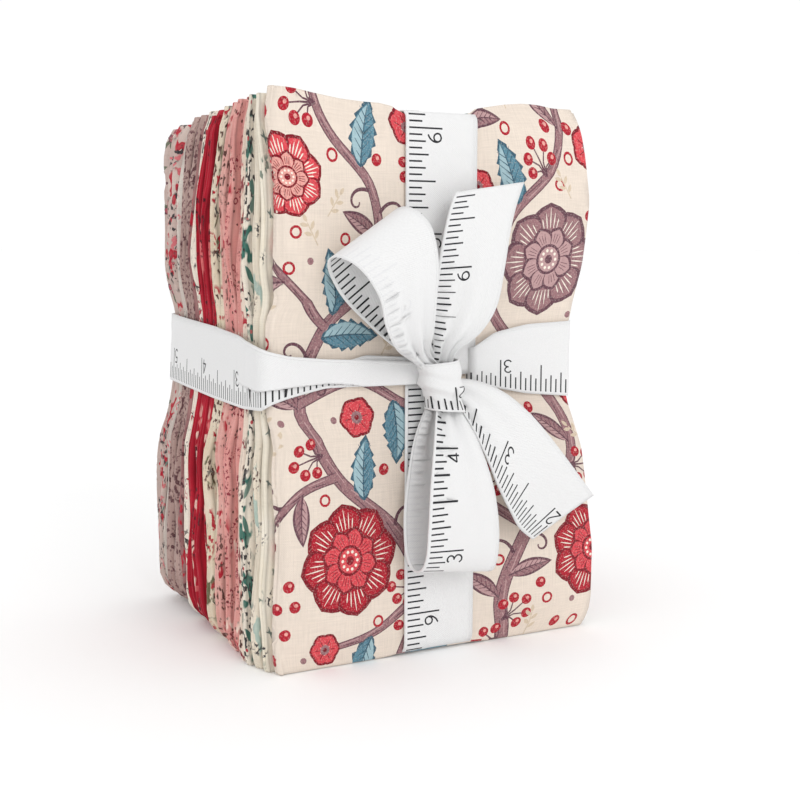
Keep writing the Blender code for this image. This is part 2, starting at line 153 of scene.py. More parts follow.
class Gauge:
    """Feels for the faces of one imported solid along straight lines, in the stack's millimetres."""

    def __init__(self, node: str, seat: Seat) -> None:
        """Takes the solid's faces.

        Args:
            node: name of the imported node.
            seat: where the stack lies.
        """
        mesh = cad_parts[node].data
        verts = [tuple(v.co) for v in mesh.vertices]
        self.tree = BVHTree.FromPolygons(verts, [tuple(p.vertices) for p in mesh.polygons])
        self.seat = seat

    def feel(self, start: Row, way: Row) -> np.ndarray | None:
        """The first face met on the way.

        Args:
            start: a point outside the solid.
            way: the direction from it.

        Returns:
            The point met, or None where the line misses.
        """
        hit = self.tree.ray_cast(Vector(self.seat.metres([start])[0]), Vector(way))[0]
        if hit is None:
            return None
        return np.array(hit) / MM - (self.seat.x, self.seat.y, 0.0)

    def profile(
        self, places: np.ndarray, start: Callable, way: Row, axis: int, span: Row = (-999.0, 999.0)
    ) -> np.ndarray:
        """One coordinate of the faces met from a row of starting points.

        Args:
            places: numbers that start turns into points.
            start: makes a starting point from a place.
            way: the direction from each.
            axis: which coordinate is kept.
            span: the lowest and highest coordinate that can belong to this face.

        Returns:
            The coordinates, those of misses filled in from their neighbours.
        """
        found = [self.feel(start(place), way) for place in places]
        known = [i for i, hit in enumerate(found) if hit is not None and span[0] < hit[axis] < span[1]]
        return np.interp(np.arange(len(places)), known, [found[i][axis] for i in known])


@dataclass
class Sheet:
    """Points, faces and inks of a thin sheet before it gets its thickness."""

    points: list = field(default_factory=list)
    maps: list = field(default_factory=list)
    faces: list = field(default_factory=list)
    inks: list = field(default_factory=list)

    def add(self, points: np.ndarray, maps: np.ndarray) -> int:
        """Adds points.

        Args:
            points: rows of x, y, z in millimetres.
            maps: their places on the flat cloth, in millimetres.

        Returns:
            The number of the first one.
        """
        first = len(self.points)
        self.points.extend(map(tuple, points))
        self.maps.extend(map(tuple, maps))
        return first

    def skin(self, low: Sequence[int], high: Sequence[int], ink: Sequence[int]) -> None:
        """Joins two rows of points with four-sided faces.

        Args:
            low: the point numbers of one row.
            high: as many of the next row.
            ink: the ink of each face.
        """
        for i in range(len(low) - 1):
            self.faces.append((low[i], low[i + 1], high[i + 1], high[i]))
            self.inks.append(ink[i])

    def tile(
        self, places: np.ndarray, tris: Sequence, inks: Sequence[int], start: int, inward: bool
    ) -> None:
        """Adds triangles, all turned the same way.

        Args:
            places: the points' places on the flat cloth.
            tris: three numbers of those points each.
            inks: the ink of each.
            start: the sheet's own number of the first point.
            inward: whether the cloth's printed side looks the other way.
        """
        for tri, ink in zip(tris, inks):
            a, b, c = places[list(tri)]
            turned = (b[0] - a[0]) * (c[1] - a[1]) - (b[1] - a[1]) * (c[0] - a[0]) > 0
            corners = tuple(corner + start for corner in tri)
            self.faces.append(corners[::-1] if turned != inward else corners)
            self.inks.append(ink)

    def thicken(self, thickness: float, reverse: dict[int, int]) -> tuple[np.ndarray, list, list, list]:
        """Gives the sheet two sides and closes its rim.

        Args:
            thickness: distance between the two sides.
            reverse: how each ink shows on the far side, where that differs.

        Returns:
            Points, faces, the map place of each face's corners, and an ink for each face.
        """
        points = np.array(self.points)
        normals = np.zeros_like(points)
        sides: dict[tuple[int, int], int] = {}
        for face in self.faces:
            a, b, c = points[face[0]], points[face[1]], points[face[-1]]
            normal = np.cross(b - a, c - a)
            for corner in face:
                normals[corner] += normal
            for i, corner in enumerate(face):
                sides[(corner, face[(i + 1) % len(face)])] = len(sides)
        normals /= np.maximum(np.linalg.norm(normals, axis=1, keepdims=True), 1e-12)
        count = len(points)
        both = np.vstack([points + normals * thickness / 2, points - normals * thickness / 2])
        faces = list(self.faces)
        inks = list(self.inks)
        bare = max(set(self.inks), key=self.inks.count)
        for face, ink in zip(self.faces, self.inks):
            faces.append(tuple(corner + count for corner in reversed(face)))
            inks.append(reverse.get(ink, ink))
        for start, end in sides:
            if (end, start) not in sides:
                faces.append((end, start, start + count, end + count))
                inks.append(bare)
        maps = [[self.maps[corner % count] for corner in face] for face in faces]
        return both, faces, maps, inks


class Ink(Enum):
    """The printed colours, as they look in daylight."""

    GROUND = (238, 224, 210)
    CRIMSON = (183, 24, 46)
    DEEP = (134, 14, 34)
    CORAL = (226, 74, 84)
    BLUSH = (240, 168, 158)
    MAUVE = (160, 118, 122)
    PLUM = (108, 70, 82)
    LILAC = (196, 158, 158)
    BLUE = (96, 142, 160)
    PALE_BLUE = (168, 198, 206)
    SLATE = (62, 98, 116)
    TAN = (222, 203, 178)
    CREAM = (250, 240, 226)
    ROSE_GREY = (206, 184, 176)
    ROSE = (186, 96, 106)
    OLIVE = (112, 116, 96)
    WHITE = (247, 247, 247)
    GHOST = (242, 242, 243)
    CHARCOAL = (44, 44, 48)

    @property
    def linear(self) -> tuple[float, float, float, float]:
        """The colour as the shader wants it."""
        return (*(PRINT_SHADE * linear(part / 255) for part in self.value), 1.0)


def linear(part: float) -> float:
    """One colour part, from how it looks to how much light it sends back."""
    return part / 12.92 if part <= 0.04045 else ((part + 0.055) / 1.055) ** 2.4


INKS = list(Ink)


@dataclass
class Print:
    """Shapes to be printed, later ones on top, in millimetres on the flat cloth."""

    shapes: list = field(default_factory=list)
    steps: int = 12  # fewest points along one side of a petal

    def shape(self, outline: np.ndarray, ink: Ink) -> None:
        """Adds a closed outline, turned anticlockwise.

        Args:
            outline: its corners.
            ink: what fills it.
        """
        outline = np.asarray(outline, float)
        ahead = np.roll(outline, -1, axis=0)
        if np.sum(outline[:, 0] * ahead[:, 1] - outline[:, 1] * ahead[:, 0]) < 0:
            outline = outline[::-1]
        self.shapes.append((outline, ink))

    def disc(self, x: float, y: float, radius: float, ink: Ink, sides: int = 14) -> None:
        """Adds a round spot."""
        turn = np.linspace(0, 2 * pi, sides, endpoint=False)
        self.shape(np.column_stack([x + radius * np.cos(turn), y + radius * np.sin(turn)]), ink)

    def stroke(self, path: np.ndarray, width: float | np.ndarray, ink: Ink) -> None:
        """Adds a line of some width.

        Args:
            path: the points along its middle.
            width: its width, one for all or one for each point.
            ink: its colour.
        """
        path = np.asarray(path, float)
        way = np.gradient(path, axis=0)
        way /= np.maximum(np.linalg.norm(way, axis=1, keepdims=True), 1e-9)
        across = np.column_stack([-way[:, 1], way[:, 0]]) * (np.atleast_1d(width) / 2)[:, None]
        self.shape(np.vstack([path + across, (path - across)[::-1]]), ink)

    def blade(
        self, root: Point, angle: float, length: float, width: float, ink: Ink,
        fullest: float = 0.5, bend: float = 0.0, teeth: int = 0, halves: tuple[int, ...] = (-1, 1),
    ) -> None:
        """Adds a petal or leaf.

        Args:
            root: where it springs from.
            angle: its direction, in degrees from the x axis.
            length: how long it is.
            width: how wide it is at its fullest.
            ink: its colour.
            fullest: where it is widest, as a share of its length.
            bend: how far its tip turns aside, in degrees.
            teeth: number of teeth along each side.
            halves: which sides of its middle line are filled.
        """
        steps = max(self.steps, teeth * 4)
        share = np.linspace(0.0, 1.0, steps)
        power = np.log(0.5) / np.log(fullest)
        half = np.sin(pi * share**power) ** 0.85 * width / 2
        if teeth:
            half = half * (1.0 - 0.34 * np.mod(share * teeth, 1.0))
        turn = radians(angle) + radians(bend) * share
        middle = np.cumsum(np.column_stack([np.cos(turn), np.sin(turn)]) * length / steps, axis=0) + root
        across = np.column_stack([-np.sin(turn), np.cos(turn)])
        one = middle + across * half[:, None] if 1 in halves else middle
        other = middle - across * half[:, None] if -1 in halves else middle
        self.shape(np.vstack([one, other[::-1]]), ink)

    def leaf(
        self, root: Point, angle: float, length: float, inks: Sequence[Ink], width: float, bend: float,
        teeth: int,
    ) -> None:
        """Adds a leaf with a rim, one paler half, a midrib and side veins.

        Args:
            root: where it springs from.
            angle: its direction in degrees.
            length: how long it is.
            inks: rim, fill, paler half and veins.
            width: its width as a share of its length.
            bend: how far its tip turns aside, in degrees.
            teeth: number of teeth along each side.
        """
        self.blade(root, angle, length, length * width, inks[0], 0.44, bend, teeth)
        self.blade(root, angle, length * 0.94, length * width * 0.74, inks[1], 0.44, bend)
        self.blade(root, angle, length * 0.92, length * width * 0.7, inks[2], 0.44, bend, 0, (1,))
        share = np.linspace(0.0, 0.94, 17)
        turn = radians(angle) + radians(bend) * share
        steps = np.column_stack([np.cos(turn), np.sin(turn)]) * length * 0.94 / 17
        middle = np.cumsum(steps, axis=0) + root
        for i in range(2, 14, 2):
            reach = 0.72 * width * length / 2 * sin(pi * share[i] ** 0.84) ** 0.85
            for side in (-1, 1):
                lean = turn[i] + side * 0.72
                tip = middle[i] + np.array([cos(lean), sin(lean)]) * reach * 1.25
                self.stroke([middle[i], tip], (0.26, 0.14), inks[3])
        self.stroke(middle, np.linspace(0.5, 0.18, 17), inks[3])

    def spray(self, root: Point, angle: float, size: float) -> None:
        """Adds five berries on thin stalks.

        Args:
            root: where the stalks part.
            angle: the middle stalk's direction, in degrees.
            size: how long the stalks are.
        """
        for lean, reach in ((-50, 0.62), (-24, 0.92), (4, 1.1), (30, 0.88), (56, 0.58)):
            half = off(root, angle + lean * 0.5, size * reach * 0.5)
            tip = off(root, angle + lean, size * reach)
            self.stroke([root, half, tip], (0.6, 0.42, 0.3), Ink.PLUM)
            self.berry(*tip, 1.45)

    def tendril(self, root: Point, angle: float, size: float, turn: float) -> None:
        """Adds a thin stem that curls up.

        Args:
            root: where it springs from.
            angle: its direction there, in degrees.
            size: how long its first step is.
            turn: which way it curls, 1 or -1.
        """
        ways = radians(angle) + turn * np.linspace(0.0, 2.6, 18) ** 1.7
        steps = size * np.linspace(1.0, 0.42, 18)[:, None]
        path = np.cumsum(np.column_stack([np.cos(ways), np.sin(ways)]) * steps, axis=0) + root
        self.stroke(path, np.linspace(1.0, 0.4, 18), Ink.PLUM)

    def berry(self, x: float, y: float, radius: float) -> None:
        """Adds a berry with a light eye."""
        self.disc(x, y, radius, Ink.CRIMSON)
        self.disc(x + radius * 0.2, y + radius * 0.25, radius * 0.34, Ink.BLUSH, 8)

    def blossom(
        self, x: float, y: float, radius: float, petals: int, inks: Sequence[Ink], spin: float
    ) -> None:
        """Adds a small open flower.

        Args:
            x: its middle.
            y: its middle.
            radius: how far its petals reach.
            petals: how many there are.
            inks: outline, petal and eye.
            spin: direction of the first petal, in degrees.
        """
        for i in range(petals):
            angle = spin + 360 * i / petals
            self.blade((x, y), angle, radius, radius * 0.92, inks[0], 0.66)
        for i in range(petals):
            angle = spin + 360 * i / petals
            self.blade((x, y), angle, radius * 0.87, radius * 0.74, inks[1], 0.66)
            self.stroke([off((x, y), angle, radius * r) for r in (0.3, 0.62)], 0.22, inks[0])
        self.disc(x, y, radius * 0.3, inks[2])
        self.disc(x, y, radius * 0.13, inks[0], 8)

    def vine(self, knots: Sequence[Row]) -> np.ndarray:
        """Adds a winding stem.

        Args:
            knots: rows of x, y and width along it.

        Returns:
            The points along its middle.
        """
        path = through(knots, 8)
        self.stroke(path[:, :2], path[:, 2] + 0.6, Ink.PLUM)
        self.stroke(path[:, :2], path[:, 2], Ink.MAUVE)
        for i in range(3, len(path) - 4, 4):
            way = path[i + 2, :2] - path[i, :2]
            side = np.array([-way[1], way[0]]) / max(hypot(*way), 1e-6)
            start = path[i, :2] + side * path[i, 2] * 0.3
            self.stroke([start, start + way * 1.2 - side * path[i, 2] * 0.18], 0.26, Ink.PLUM)
            start = path[i, :2] - side * path[i, 2] * 0.22
            self.stroke([start, start + way * 1.5], 0.3, Ink.LILAC)
        return path

    def grand(self, x: float, y: float, radius: float, inks: Sequence[Ink], spin: float) -> None:
        """Adds a large double flower.

        Args:
            x: its middle.
            y: its middle.
            radius: how far its petals reach.
            inks: outline, outer petals, inner petals and markings.
            spin: direction of the first petal, in degrees.
        """
        for i in range(8):
            angle = spin + 45 * i
            self.blade((x, y), angle, radius, radius * 0.74, inks[0], 0.7)
            self.blade((x, y), angle, radius * 0.93, radius * 0.62, inks[1], 0.7)
            for lean in (-14, -7, 0, 7, 14):
                shares = (0.55, 0.68, 0.9 - 0.012 * abs(lean))
                path = [off((x, y), angle + lean, r * radius) for r in shares]
                self.stroke(path, (0.16, 0.34, 0.12), inks[3])
        for i in range(8):
            angle = spin + 22.5 + 45 * i
            self.blade((x, y), angle, radius * 0.6, radius * 0.42, inks[0], 0.64)
            self.blade((x, y), angle, radius * 0.55, radius * 0.33, inks[2], 0.64)
            for lean in (-8, 0, 8):
                path = [off((x, y), angle + lean, r * radius) for r in (0.3, 0.46)]
                self.stroke(path, 0.16, inks[0])
        self.disc(x, y, radius * 0.27, inks[0], 20)
        self.disc(x, y, radius * 0.22, inks[2], 18)
        for i in range(10):
            self.disc(*off((x, y), 36 * i, radius * 0.155), radius * 0.03, inks[3], 7)
        self.disc(x, y, radius * 0.08, inks[0], 10)

    def sprig(self, x: float, y: float, angle: float, size: float) -> None:
        """Adds a faint spray of small leaves.

        Args:
            x: its root.
            y: its root.
            angle: its direction, in degrees.
            size: how long its stalk is.
        """
        path = [off((x, y), angle, r * size) for r in (0.0, 0.5, 1.0)]
        self.stroke(path, 0.32, Ink.TAN)
        for i, r in enumerate((0.25, 0.45, 0.65, 0.85)):
            root = off((x, y), angle, r * size)
            self.blade(root, angle + (48 if i % 2 else -48), size * 0.42, size * 0.17, Ink.TAN)
        self.blade(path[-1], angle, size * 0.4, size * 0.17, Ink.TAN)

    def under(self, place: Point) -> Ink | None:
        """The topmost shape at a place.

        Args:
            place: a point on the flat cloth.

        Returns:
            Its ink, or None on the bare ground.
        """
        for outline, ink in reversed(self.shapes):
            low, high = outline.min(axis=0), outline.max(axis=0)
            if np.any(place < low) or np.any(place > high):
                continue
            ahead = np.roll(outline, -1, axis=0)
            cross = (outline[:, 1] > place[1]) != (ahead[:, 1] > place[1])
            with np.errstate(divide="ignore", invalid="ignore"):
                side = ahead - outline
                at = outline[:, 0] + (place[1] - outline[:, 1]) * side[:, 0] / side[:, 1]
            if np.count_nonzero(cross & (place[0] < at)) % 2:
                return ink
        return None

    def cut(
        self, edge: Sequence[Point], inner: np.ndarray, ground: Ink
    ) -> tuple[np.ndarray, list[tuple[int, int, int]], list[int]]:
        """Cuts the flat cloth into triangles along the printed outlines.

        Args:
            edge: the cloth's outline.
            inner: further points that the triangles must use.
            ground: ink where nothing is printed.

        Returns:
            The points, the triangles, and an ink number for each.
        """
        points = [Vector(p) for p in edge]
        faces = [list(range(len(edge)))]
        low, high = np.min(edge, axis=0), np.max(edge, axis=0)
        inks = [ground]
        for outline, ink in self.shapes:
            if np.any(outline.max(axis=0) < low) or np.any(outline.min(axis=0) > high):
                continue
            faces.append(list(range(len(points), len(points) + len(outline))))
            points += [Vector(p) for p in outline]
            inks.append(ink)
        points += [Vector(p) for p in inner]
        verts, _, tris, _, _, owners = geometry.delaunay_2d_cdt(points, [], faces, 0, 1e-4, True)
        found, colours = [], []
        for tri, owner in zip(tris, owners):
            if 0 in owner:
                found.append(tri)
                colours.append(INKS.index(inks[max(owner)]))
        used, places = np.unique(np.array(found), return_inverse=True)
        kept = np.array([tuple(verts[i]) for i in used])
        return kept, [tuple(tri) for tri in places.reshape(-1, 3).tolist()], colours


def through(rows: Sequence[Row], steps: int) -> np.ndarray:
    """Points on a smooth curve through rows of numbers.

    Args:
        rows: the numbers that it passes through.
        steps: how many points for each stretch.

    Returns:
        The points, row by row.
    """
    knots = np.asarray(rows, float)
    before = np.vstack([knots[:1], knots[:-2]])
    after = np.vstack([knots[2:], knots[-1:]])
    found = []
    for t in np.arange(steps) / steps:
        a, b, c, d = before, knots[:-1], knots[1:], after
        line = 2 * b + (c - a) * t
        found.append(0.5 * (line + (2 * a - 5 * b + 4 * c - d) * t**2 + (3 * b - a - 3 * c + d) * t**3))
    curve = np.stack(found, axis=1).reshape(-1, knots.shape[1])
    return np.vstack([curve, knots[-1:]])


class Value:
    """A number that a shader works out for each point, with the usual arithmetic."""

    def __init__(self, tree: bpy.types.NodeTree, socket: bpy.types.NodeSocket) -> None:
        """Wraps a socket of a node tree."""
        self.tree = tree
        self.socket = socket

    def maths(self, operation: str, *others: "Value | float") -> "Value":
        """The result of a Math node that has self as its first input."""
        return math_node(self.tree, operation, self, *others)

    def __add__(self, other: "Value | float") -> "Value":
        """self + other."""
        return self.maths("ADD", other)

    __radd__ = __add__

    def __sub__(self, other: "Value | float") -> "Value":
        """self - other."""
        return self.maths("SUBTRACT", other)

    def __rsub__(self, other: float) -> "Value":
        """other - self."""
        return math_node(self.tree, "SUBTRACT", other, self)

    def __mul__(self, other: "Value | float") -> "Value":
        """self * other."""
        return self.maths("MULTIPLY", other)

    __rmul__ = __mul__

    def __truediv__(self, other: "Value | float") -> "Value":
        """self / other."""
        return self.maths("DIVIDE", other)

    def __rtruediv__(self, other: float) -> "Value":
        """other / self."""
        return math_node(self.tree, "DIVIDE", other, self)

    def __abs__(self) -> "Value":
        """The size of self."""
        return self.maths("ABSOLUTE")

    def sin(self) -> "Value":
        """The sine of self, in radians."""
        return self.maths("SINE")

    def cos(self) -> "Value":
        """The cosine of self, in radians."""
        return self.maths("COSINE")

    def least(self, other: "Value | float") -> "Value":
        """The smaller of the two."""
        return self.maths("MINIMUM", other)

    def most(self, other: "Value | float") -> "Value":
        """The larger of the two."""
        return self.maths("MAXIMUM", other)

    def below(self, other: "Value | float") -> "Value":
        """1 where self is less than other, else 0."""
        return self.maths("LESS_THAN", other)

    def clip(self) -> "Value":
        """self kept between 0 and 1."""
        return self.most(0.0).least(1.0)


def math_node(tree: bpy.types.NodeTree, operation: str, *inputs: "Value | float") -> Value:
    """Adds a Math node to a tree.

    Args:
        tree: the material's nodes.
        operation: what the node does.
        inputs: its inputs, values or numbers.

    Returns:
        Its result.
    """
    node = tree.nodes.new("ShaderNodeMath")
    node.operation = operation
    for place, item in enumerate(inputs):
        if isinstance(item, Value):
            tree.links.new(item.socket, node.inputs[place])
        else:
            node.inputs[place].default_value = item
    return Value(tree, node.outputs[0])


MARK_SWING = 2.4  # how far marks turn from upright, all in all, in radians
MARK_SPREAD = 0.8  # how evenly marks cover the cloth
MARK_SHARPNESS = 7.0  # how sharp their edges are


class Dye:
    """One cloth's material while its nodes are being laid."""

    def __init__(self, name: str) -> None:
        """Starts a material with a bare Principled shader.

        Args:
            name: the material's name.
        """
        self.material = bpy.data.materials.new(name)
        self.material.use_nodes = True
        self.tree = self.material.node_tree
        self.shader = self.tree.nodes["Principled BSDF"]
        place = self.node("ShaderNodeUVMap", {"uv_map": "Cloth"})
        scaled = self.node(
            "ShaderNodeVectorMath", {"operation": "SCALE"}, {0: place.outputs[0], "Scale": 1000.0}
        )
        self.place = scaled.outputs[0]
        split = self.node("ShaderNodeSeparateXYZ", {}, {0: self.place})
        self.u = Value(self.tree, split.outputs[0])
        self.v = Value(self.tree, split.outputs[1])

    def node(self, kind: str, settings: dict, inputs: dict | None = None) -> bpy.types.Node:
        """Adds any node.

        Args:
            kind: the node's type.
            settings: its properties, set first.
            inputs: values or links of its sockets, by name or number.

        Returns:
            The node.
        """
        made = self.tree.nodes.new(kind)
        for name, setting in settings.items():
            setattr(made, name, setting)
        for key, item in (inputs or {}).items():
            socket = made.inputs[key]
            if isinstance(item, Value):
                item = item.socket
            if isinstance(item, bpy.types.NodeSocket):
                self.tree.links.new(item, socket)
            else:
                socket.default_value = item
        return made

    def noise(
        self, scale: float, detail: float, stretch: Row = (1.0, 1.0), shift: float = 0.0
    ) -> Value:
        """A soft random pattern on the cloth.

        Args:
            scale: patches to the millimetre.
            detail: how much finer it goes.
            stretch: how much coarser it is along each of the cloth's two ways.
            shift: moves the pattern along, so that two of a scale differ.

        Returns:
            Its height, about 0.5 in the middle.
        """
        along = self.u * (scale / stretch[0]) + shift
        flat = self.node("ShaderNodeCombineXYZ", {}, {0: along, 1: self.v * (scale / stretch[1])})
        made = self.node(
            "ShaderNodeTexNoise",
            {"noise_dimensions": "2D"},
            {"Vector": flat.outputs[0], "Scale": 1.0, "Detail": detail},
        )
        return Value(self.tree, made.outputs[0])

    def weave(self, pitch: float) -> Value:
        """A plain weave: threads that pass over and under each other.

        Args:
            pitch: distance between two threads, in millimetres.

        Returns:
            The weave's height, from 0 to 1.
        """
        warp = (self.u * (2 * pi / pitch)).sin()
        weft = (self.v * (2 * pi / pitch)).sin()
        return (warp * weft) * 0.5 + 0.5

    def flecks(self, layer: "Marks") -> tuple[Value, Value]:
        """Small uneven blots in clusters.

        Args:
            layer: size is a blot's, pitch a cluster's and share the share of the cloth that has clusters.

        Returns:
            Where they are printed, from 0 to 1, and how much lighter they are from place to place.
        """
        blot = self.noise(1.0 / layer.size, 1.5, (1.0, layer.stretch), layer.shift)
        cluster = self.noise(1.0 / layer.pitch, 1.0, (1.0, layer.stretch), layer.shift + 31.0)
        mask = ((blot - 0.54) * 14.0).clip() * ((cluster - 0.5 + (layer.share - 0.5) * 0.4) * 14.0).clip()
        return mask, (blot * 4.0 - 2.6).clip()

    def mix(
        self, share: Value | float, under: object, over: object, way: str = "MIX"
    ) -> bpy.types.NodeSocket:
        """Lays one colour over another.

        Args:
            share: how much of the upper one shows.
            under: the lower colour.
            over: the upper colour.
            way: how they blend.

        Returns:
            The colour.
        """
        made = self.node(
            "ShaderNodeMix", {"data_type": "RGBA", "blend_type": way}, {0: share, 6: under, 7: over}
        )
        return made.outputs[2]

    def marks(self, layer: "Marks") -> tuple[Value, Value]:
        """A scatter of printed marks.

        Args:
            layer: their shape and size.

        Returns:
            Where they are printed, from 0 to 1, and a random number for each.
        """
        if layer.form is Form.FLECK:
            return self.flecks(layer)
        shifted = self.node(
            "ShaderNodeCombineXYZ",
            {},
            {
                0: (self.u + layer.shift) / layer.pitch,
                1: (self.v + layer.shift * 1.7) / (layer.pitch * layer.stretch),
            },
        )
        cells = self.node(
            "ShaderNodeTexVoronoi",
            {"voronoi_dimensions": "2D", "feature": "F1"},
            {"Vector": shifted.outputs[0], "Scale": 1.0, "Randomness": 0.85},
        )
        away = self.node(
            "ShaderNodeVectorMath",
            {"operation": "SUBTRACT"},
            {0: shifted.outputs[0], 1: cells.outputs["Position"]},
        )
        split = self.node("ShaderNodeSeparateXYZ", {}, {0: away.outputs[0]})
        x = Value(self.tree, split.outputs[0]) * layer.pitch
        y = Value(self.tree, split.outputs[1]) * layer.pitch
        lots = self.node("ShaderNodeSeparateColor", {}, {0: cells.outputs["Color"]})
        lot = Value(self.tree, lots.outputs[0])
        other = Value(self.tree, lots.outputs[1])
        turn = (other - 0.5) * MARK_SWING
        along = x * turn.sin() + y * turn.cos()
        aside = x * turn.cos() - y * turn.sin()
        edge = layer.edge(along, aside)
        patch = ((self.noise(0.055, 1.0, (1.0, 1.0 / 1.3)) - 0.5) * 6.0 + MARK_SPREAD).clip()
        return (edge * MARK_SHARPNESS).clip() * lot.below(patch * layer.share), other

    def finish(
        self, colour: object, rough: float, bump: Value, depth: float, sheen: float
    ) -> bpy.types.Material:
        """Joins the colour and the relief to the shader.

        Args:
            colour: what feeds Base Color.
            rough: usual roughness.
            bump: the relief's height.
            depth: the relief's depth, in millimetres.
            sheen: strength of the cloth's soft edge light.

        Returns:
            The finished material.
        """
        self.tree.links.new(colour, self.shader.inputs["Base Color"])
        worn = self.noise(0.5, 3.0) * 0.12 + (rough - 0.06)
        self.tree.links.new(worn.socket, self.shader.inputs["Roughness"])
        raised = self.node("ShaderNodeBump", {}, {"Height": bump, "Distance": depth * MM, "Strength": 1.0})
        self.tree.links.new(raised.outputs[0], self.shader.inputs["Normal"])
        self.shader.inputs["Sheen Weight"].default_value = sheen
        self.shader.inputs["Sheen Roughness"].default_value = 0.5
        self.shader.inputs["Specular IOR Level"].default_value = 0.25
        return self.material


class Form(Enum):
    """The shapes that small printed marks take."""

    FLECK = "fleck"
    DOT = "dot"
    RING = "ring"
    LEAF = "leaf"
    SPRAY = "spray"


@dataclass(frozen=True)
class Marks:
    """A scatter of one kind of printed mark."""

    form: Form
    colour: tuple[int, int, int]
    pitch: float  # usual distance between two
    size: float
    share: float = 0.7  # how many of the places for a mark have one
    shift: float = 0.0  # moves the scatter along, so that two of a pitch differ
    stretch: float = 1.5  # how much longer than wide the scatter is

    def edge(self, along: Value, aside: Value) -> Value:
        """How far inside the mark a point lies.

        Args:
            along: the point's place along the mark.
            aside: its place across it.

        Returns:
            Above 0 inside, below 0 outside, as a share of the size.
        """
        if self.form in (Form.DOT, Form.RING):
            away = (along * along + aside * aside).maths("SQRT") / self.size
            return 1.0 - away if self.form is Form.DOT else 0.28 - abs(away - 0.75)
        if self.form is Form.LEAF:
            reach = along / self.size
            return 1.0 - reach * reach - abs(aside) / (self.size * 0.36)
        reach = abs(along) / self.size
        wing = abs(abs(aside) - reach * self.size * 0.55) / (self.size * 0.2)
        return (1.0 - reach * reach - wing).most(1.0 - reach - abs(aside) / (self.size * 0.13))


@dataclass(frozen=True)
class Cotton:
    """A printed quilting cotton: its ground, its marks and its plain weave."""

    name: str
    ground: tuple[int, int, int]
    marks: tuple[Marks, ...] = ()
    tone: tuple[int, int, int] | None = None  # what the ground clouds into
    inked: bool = False  # whether its print is in the mesh

    def dress(self, seams: Sequence[float] = ()) -> bpy.types.Material:
        """Makes the cotton's material.

        Args:
            seams: places across the cloth where its fold meets the next fabric's and gets little light; the
                colour is darkened there as painted shade.

        Returns:
            The material.
        """
        dye = Dye(self.name)
        if self.inked:
            ink = dye.node("ShaderNodeVertexColor", {"layer_name": "ink"})
            colour = self.grained(dye, ink.outputs[0])
        else:
            ground = tuple(linear(part / 255) for part in self.ground)
            tone = tuple(linear(part / 255) for part in self.tone or self.ground)
            cloud = (dye.noise(0.16, 3.0, (1.0, 1.6)) * 3.0 - 1.0).clip()
            colour = dye.mix(cloud, (*ground, 1.0), (*tone, 1.0))
        for layer in self.marks:
            mask, lot = dye.marks(layer)
            shade = tuple(linear(part / 255) for part in layer.colour)
            pale = tuple(0.76 * part + 0.24 * linear(base / 255) for part, base in zip(shade, self.ground))
            ink = dye.mix(lot, (*shade, 1.0), (*pale, 1.0))
            colour = dye.mix(mask, colour, ink)
        threads = dye.weave(THREADS)
        slub = dye.noise(1.1, 2.0, (7.0, 0.35)) + dye.noise(1.1, 2.0, (0.35, 7.0))
        worn = dye.noise(0.06, 2.0)
        light = threads * 0.16 + slub * 0.18 + worn * 0.10 + 0.70
        # painted shade: the colour darkens towards each crease where one fold meets the next
        for shaded_crease in seams:
            near = (1.0 - abs(dye.u - shaded_crease) / 1.1).clip()
            light = light * (1.0 - near * near * 0.42)
        grey = dye.node("ShaderNodeCombineColor", {}, {0: light, 1: light, 2: light})
        colour = dye.mix(1.0, colour, grey.outputs[0], "MULTIPLY")
        return dye.finish(colour, 0.86, threads * 0.6 + slub * 0.5, 0.09, 0.12)

    @staticmethod
    def grained(dye: Dye, printed: bpy.types.NodeSocket) -> bpy.types.NodeSocket:
        """Gives strong inks the fine dark grain of a printing screen and lets the cloth show through them.

        Args:
            dye: the material.
            printed: the printed colours.

        Returns:
            The colour.
        """
        parts = dye.node("ShaderNodeSeparateColor", {"mode": "HSV"}, {0: printed})
        strong = ((Value(dye.tree, parts.outputs[1]) - 0.32) * 6.0).clip()
        grain = ((dye.noise(1.5, 2.0, (1.0, 1.6)) - 0.52) * 7.0).clip()
        light = ((dye.noise(2.4, 1.0, (1.0, 1.0), 17.0) - 0.57) * 9.0).clip()
        deep = dye.mix(1.0, printed, (0.52, 0.50, 0.55, 1.0), "MULTIPLY")
        colour = dye.mix(strong * grain * 0.5, printed, deep)
        return dye.mix(strong * light * 0.16, colour, (0.92, 0.84, 0.74, 1.0))


@dataclass(frozen=True)
class Twill:
    """The tape: white cotton with a fine slanting rib and its printed scale."""

    name: str = "white twill tape"
    pitch: float = 0.5

    def dress(self) -> bpy.types.Material:
        """Makes the tape's material.

        Returns:
            The material.
        """
        dye = Dye(self.name)
        ink = dye.node("ShaderNodeVertexColor", {"layer_name": "ink"})
        rib = ((dye.u + dye.v * 0.8) * (2 * pi / self.pitch)).sin() * 0.5 + 0.5
        threads = dye.weave(self.pitch * 0.7)
        fuzz = dye.noise(2.2, 3.0)
        # rim: the tape's raised woven edge; its bump is real relief, and its slightly lighter colour is a
        # painted highlight
        rim = ((abs(dye.v - TAPE_WIDE / 2) - (TAPE_WIDE / 2 - 0.9)) * 5.0).clip()
        light = rib * 0.03 + threads * 0.04 + fuzz * 0.08 + rim * 0.03 + 0.87
        grey = dye.node("ShaderNodeCombineColor", {}, {0: light, 1: light, 2: light})
        colour = dye.mix(1.0, ink.outputs[0], grey.outputs[0], "MULTIPLY")
        return dye.finish(colour, 0.8, rib * 0.6 + threads * 0.4 + fuzz * 0.3 + rim * 1.6, 0.07, 0.1)


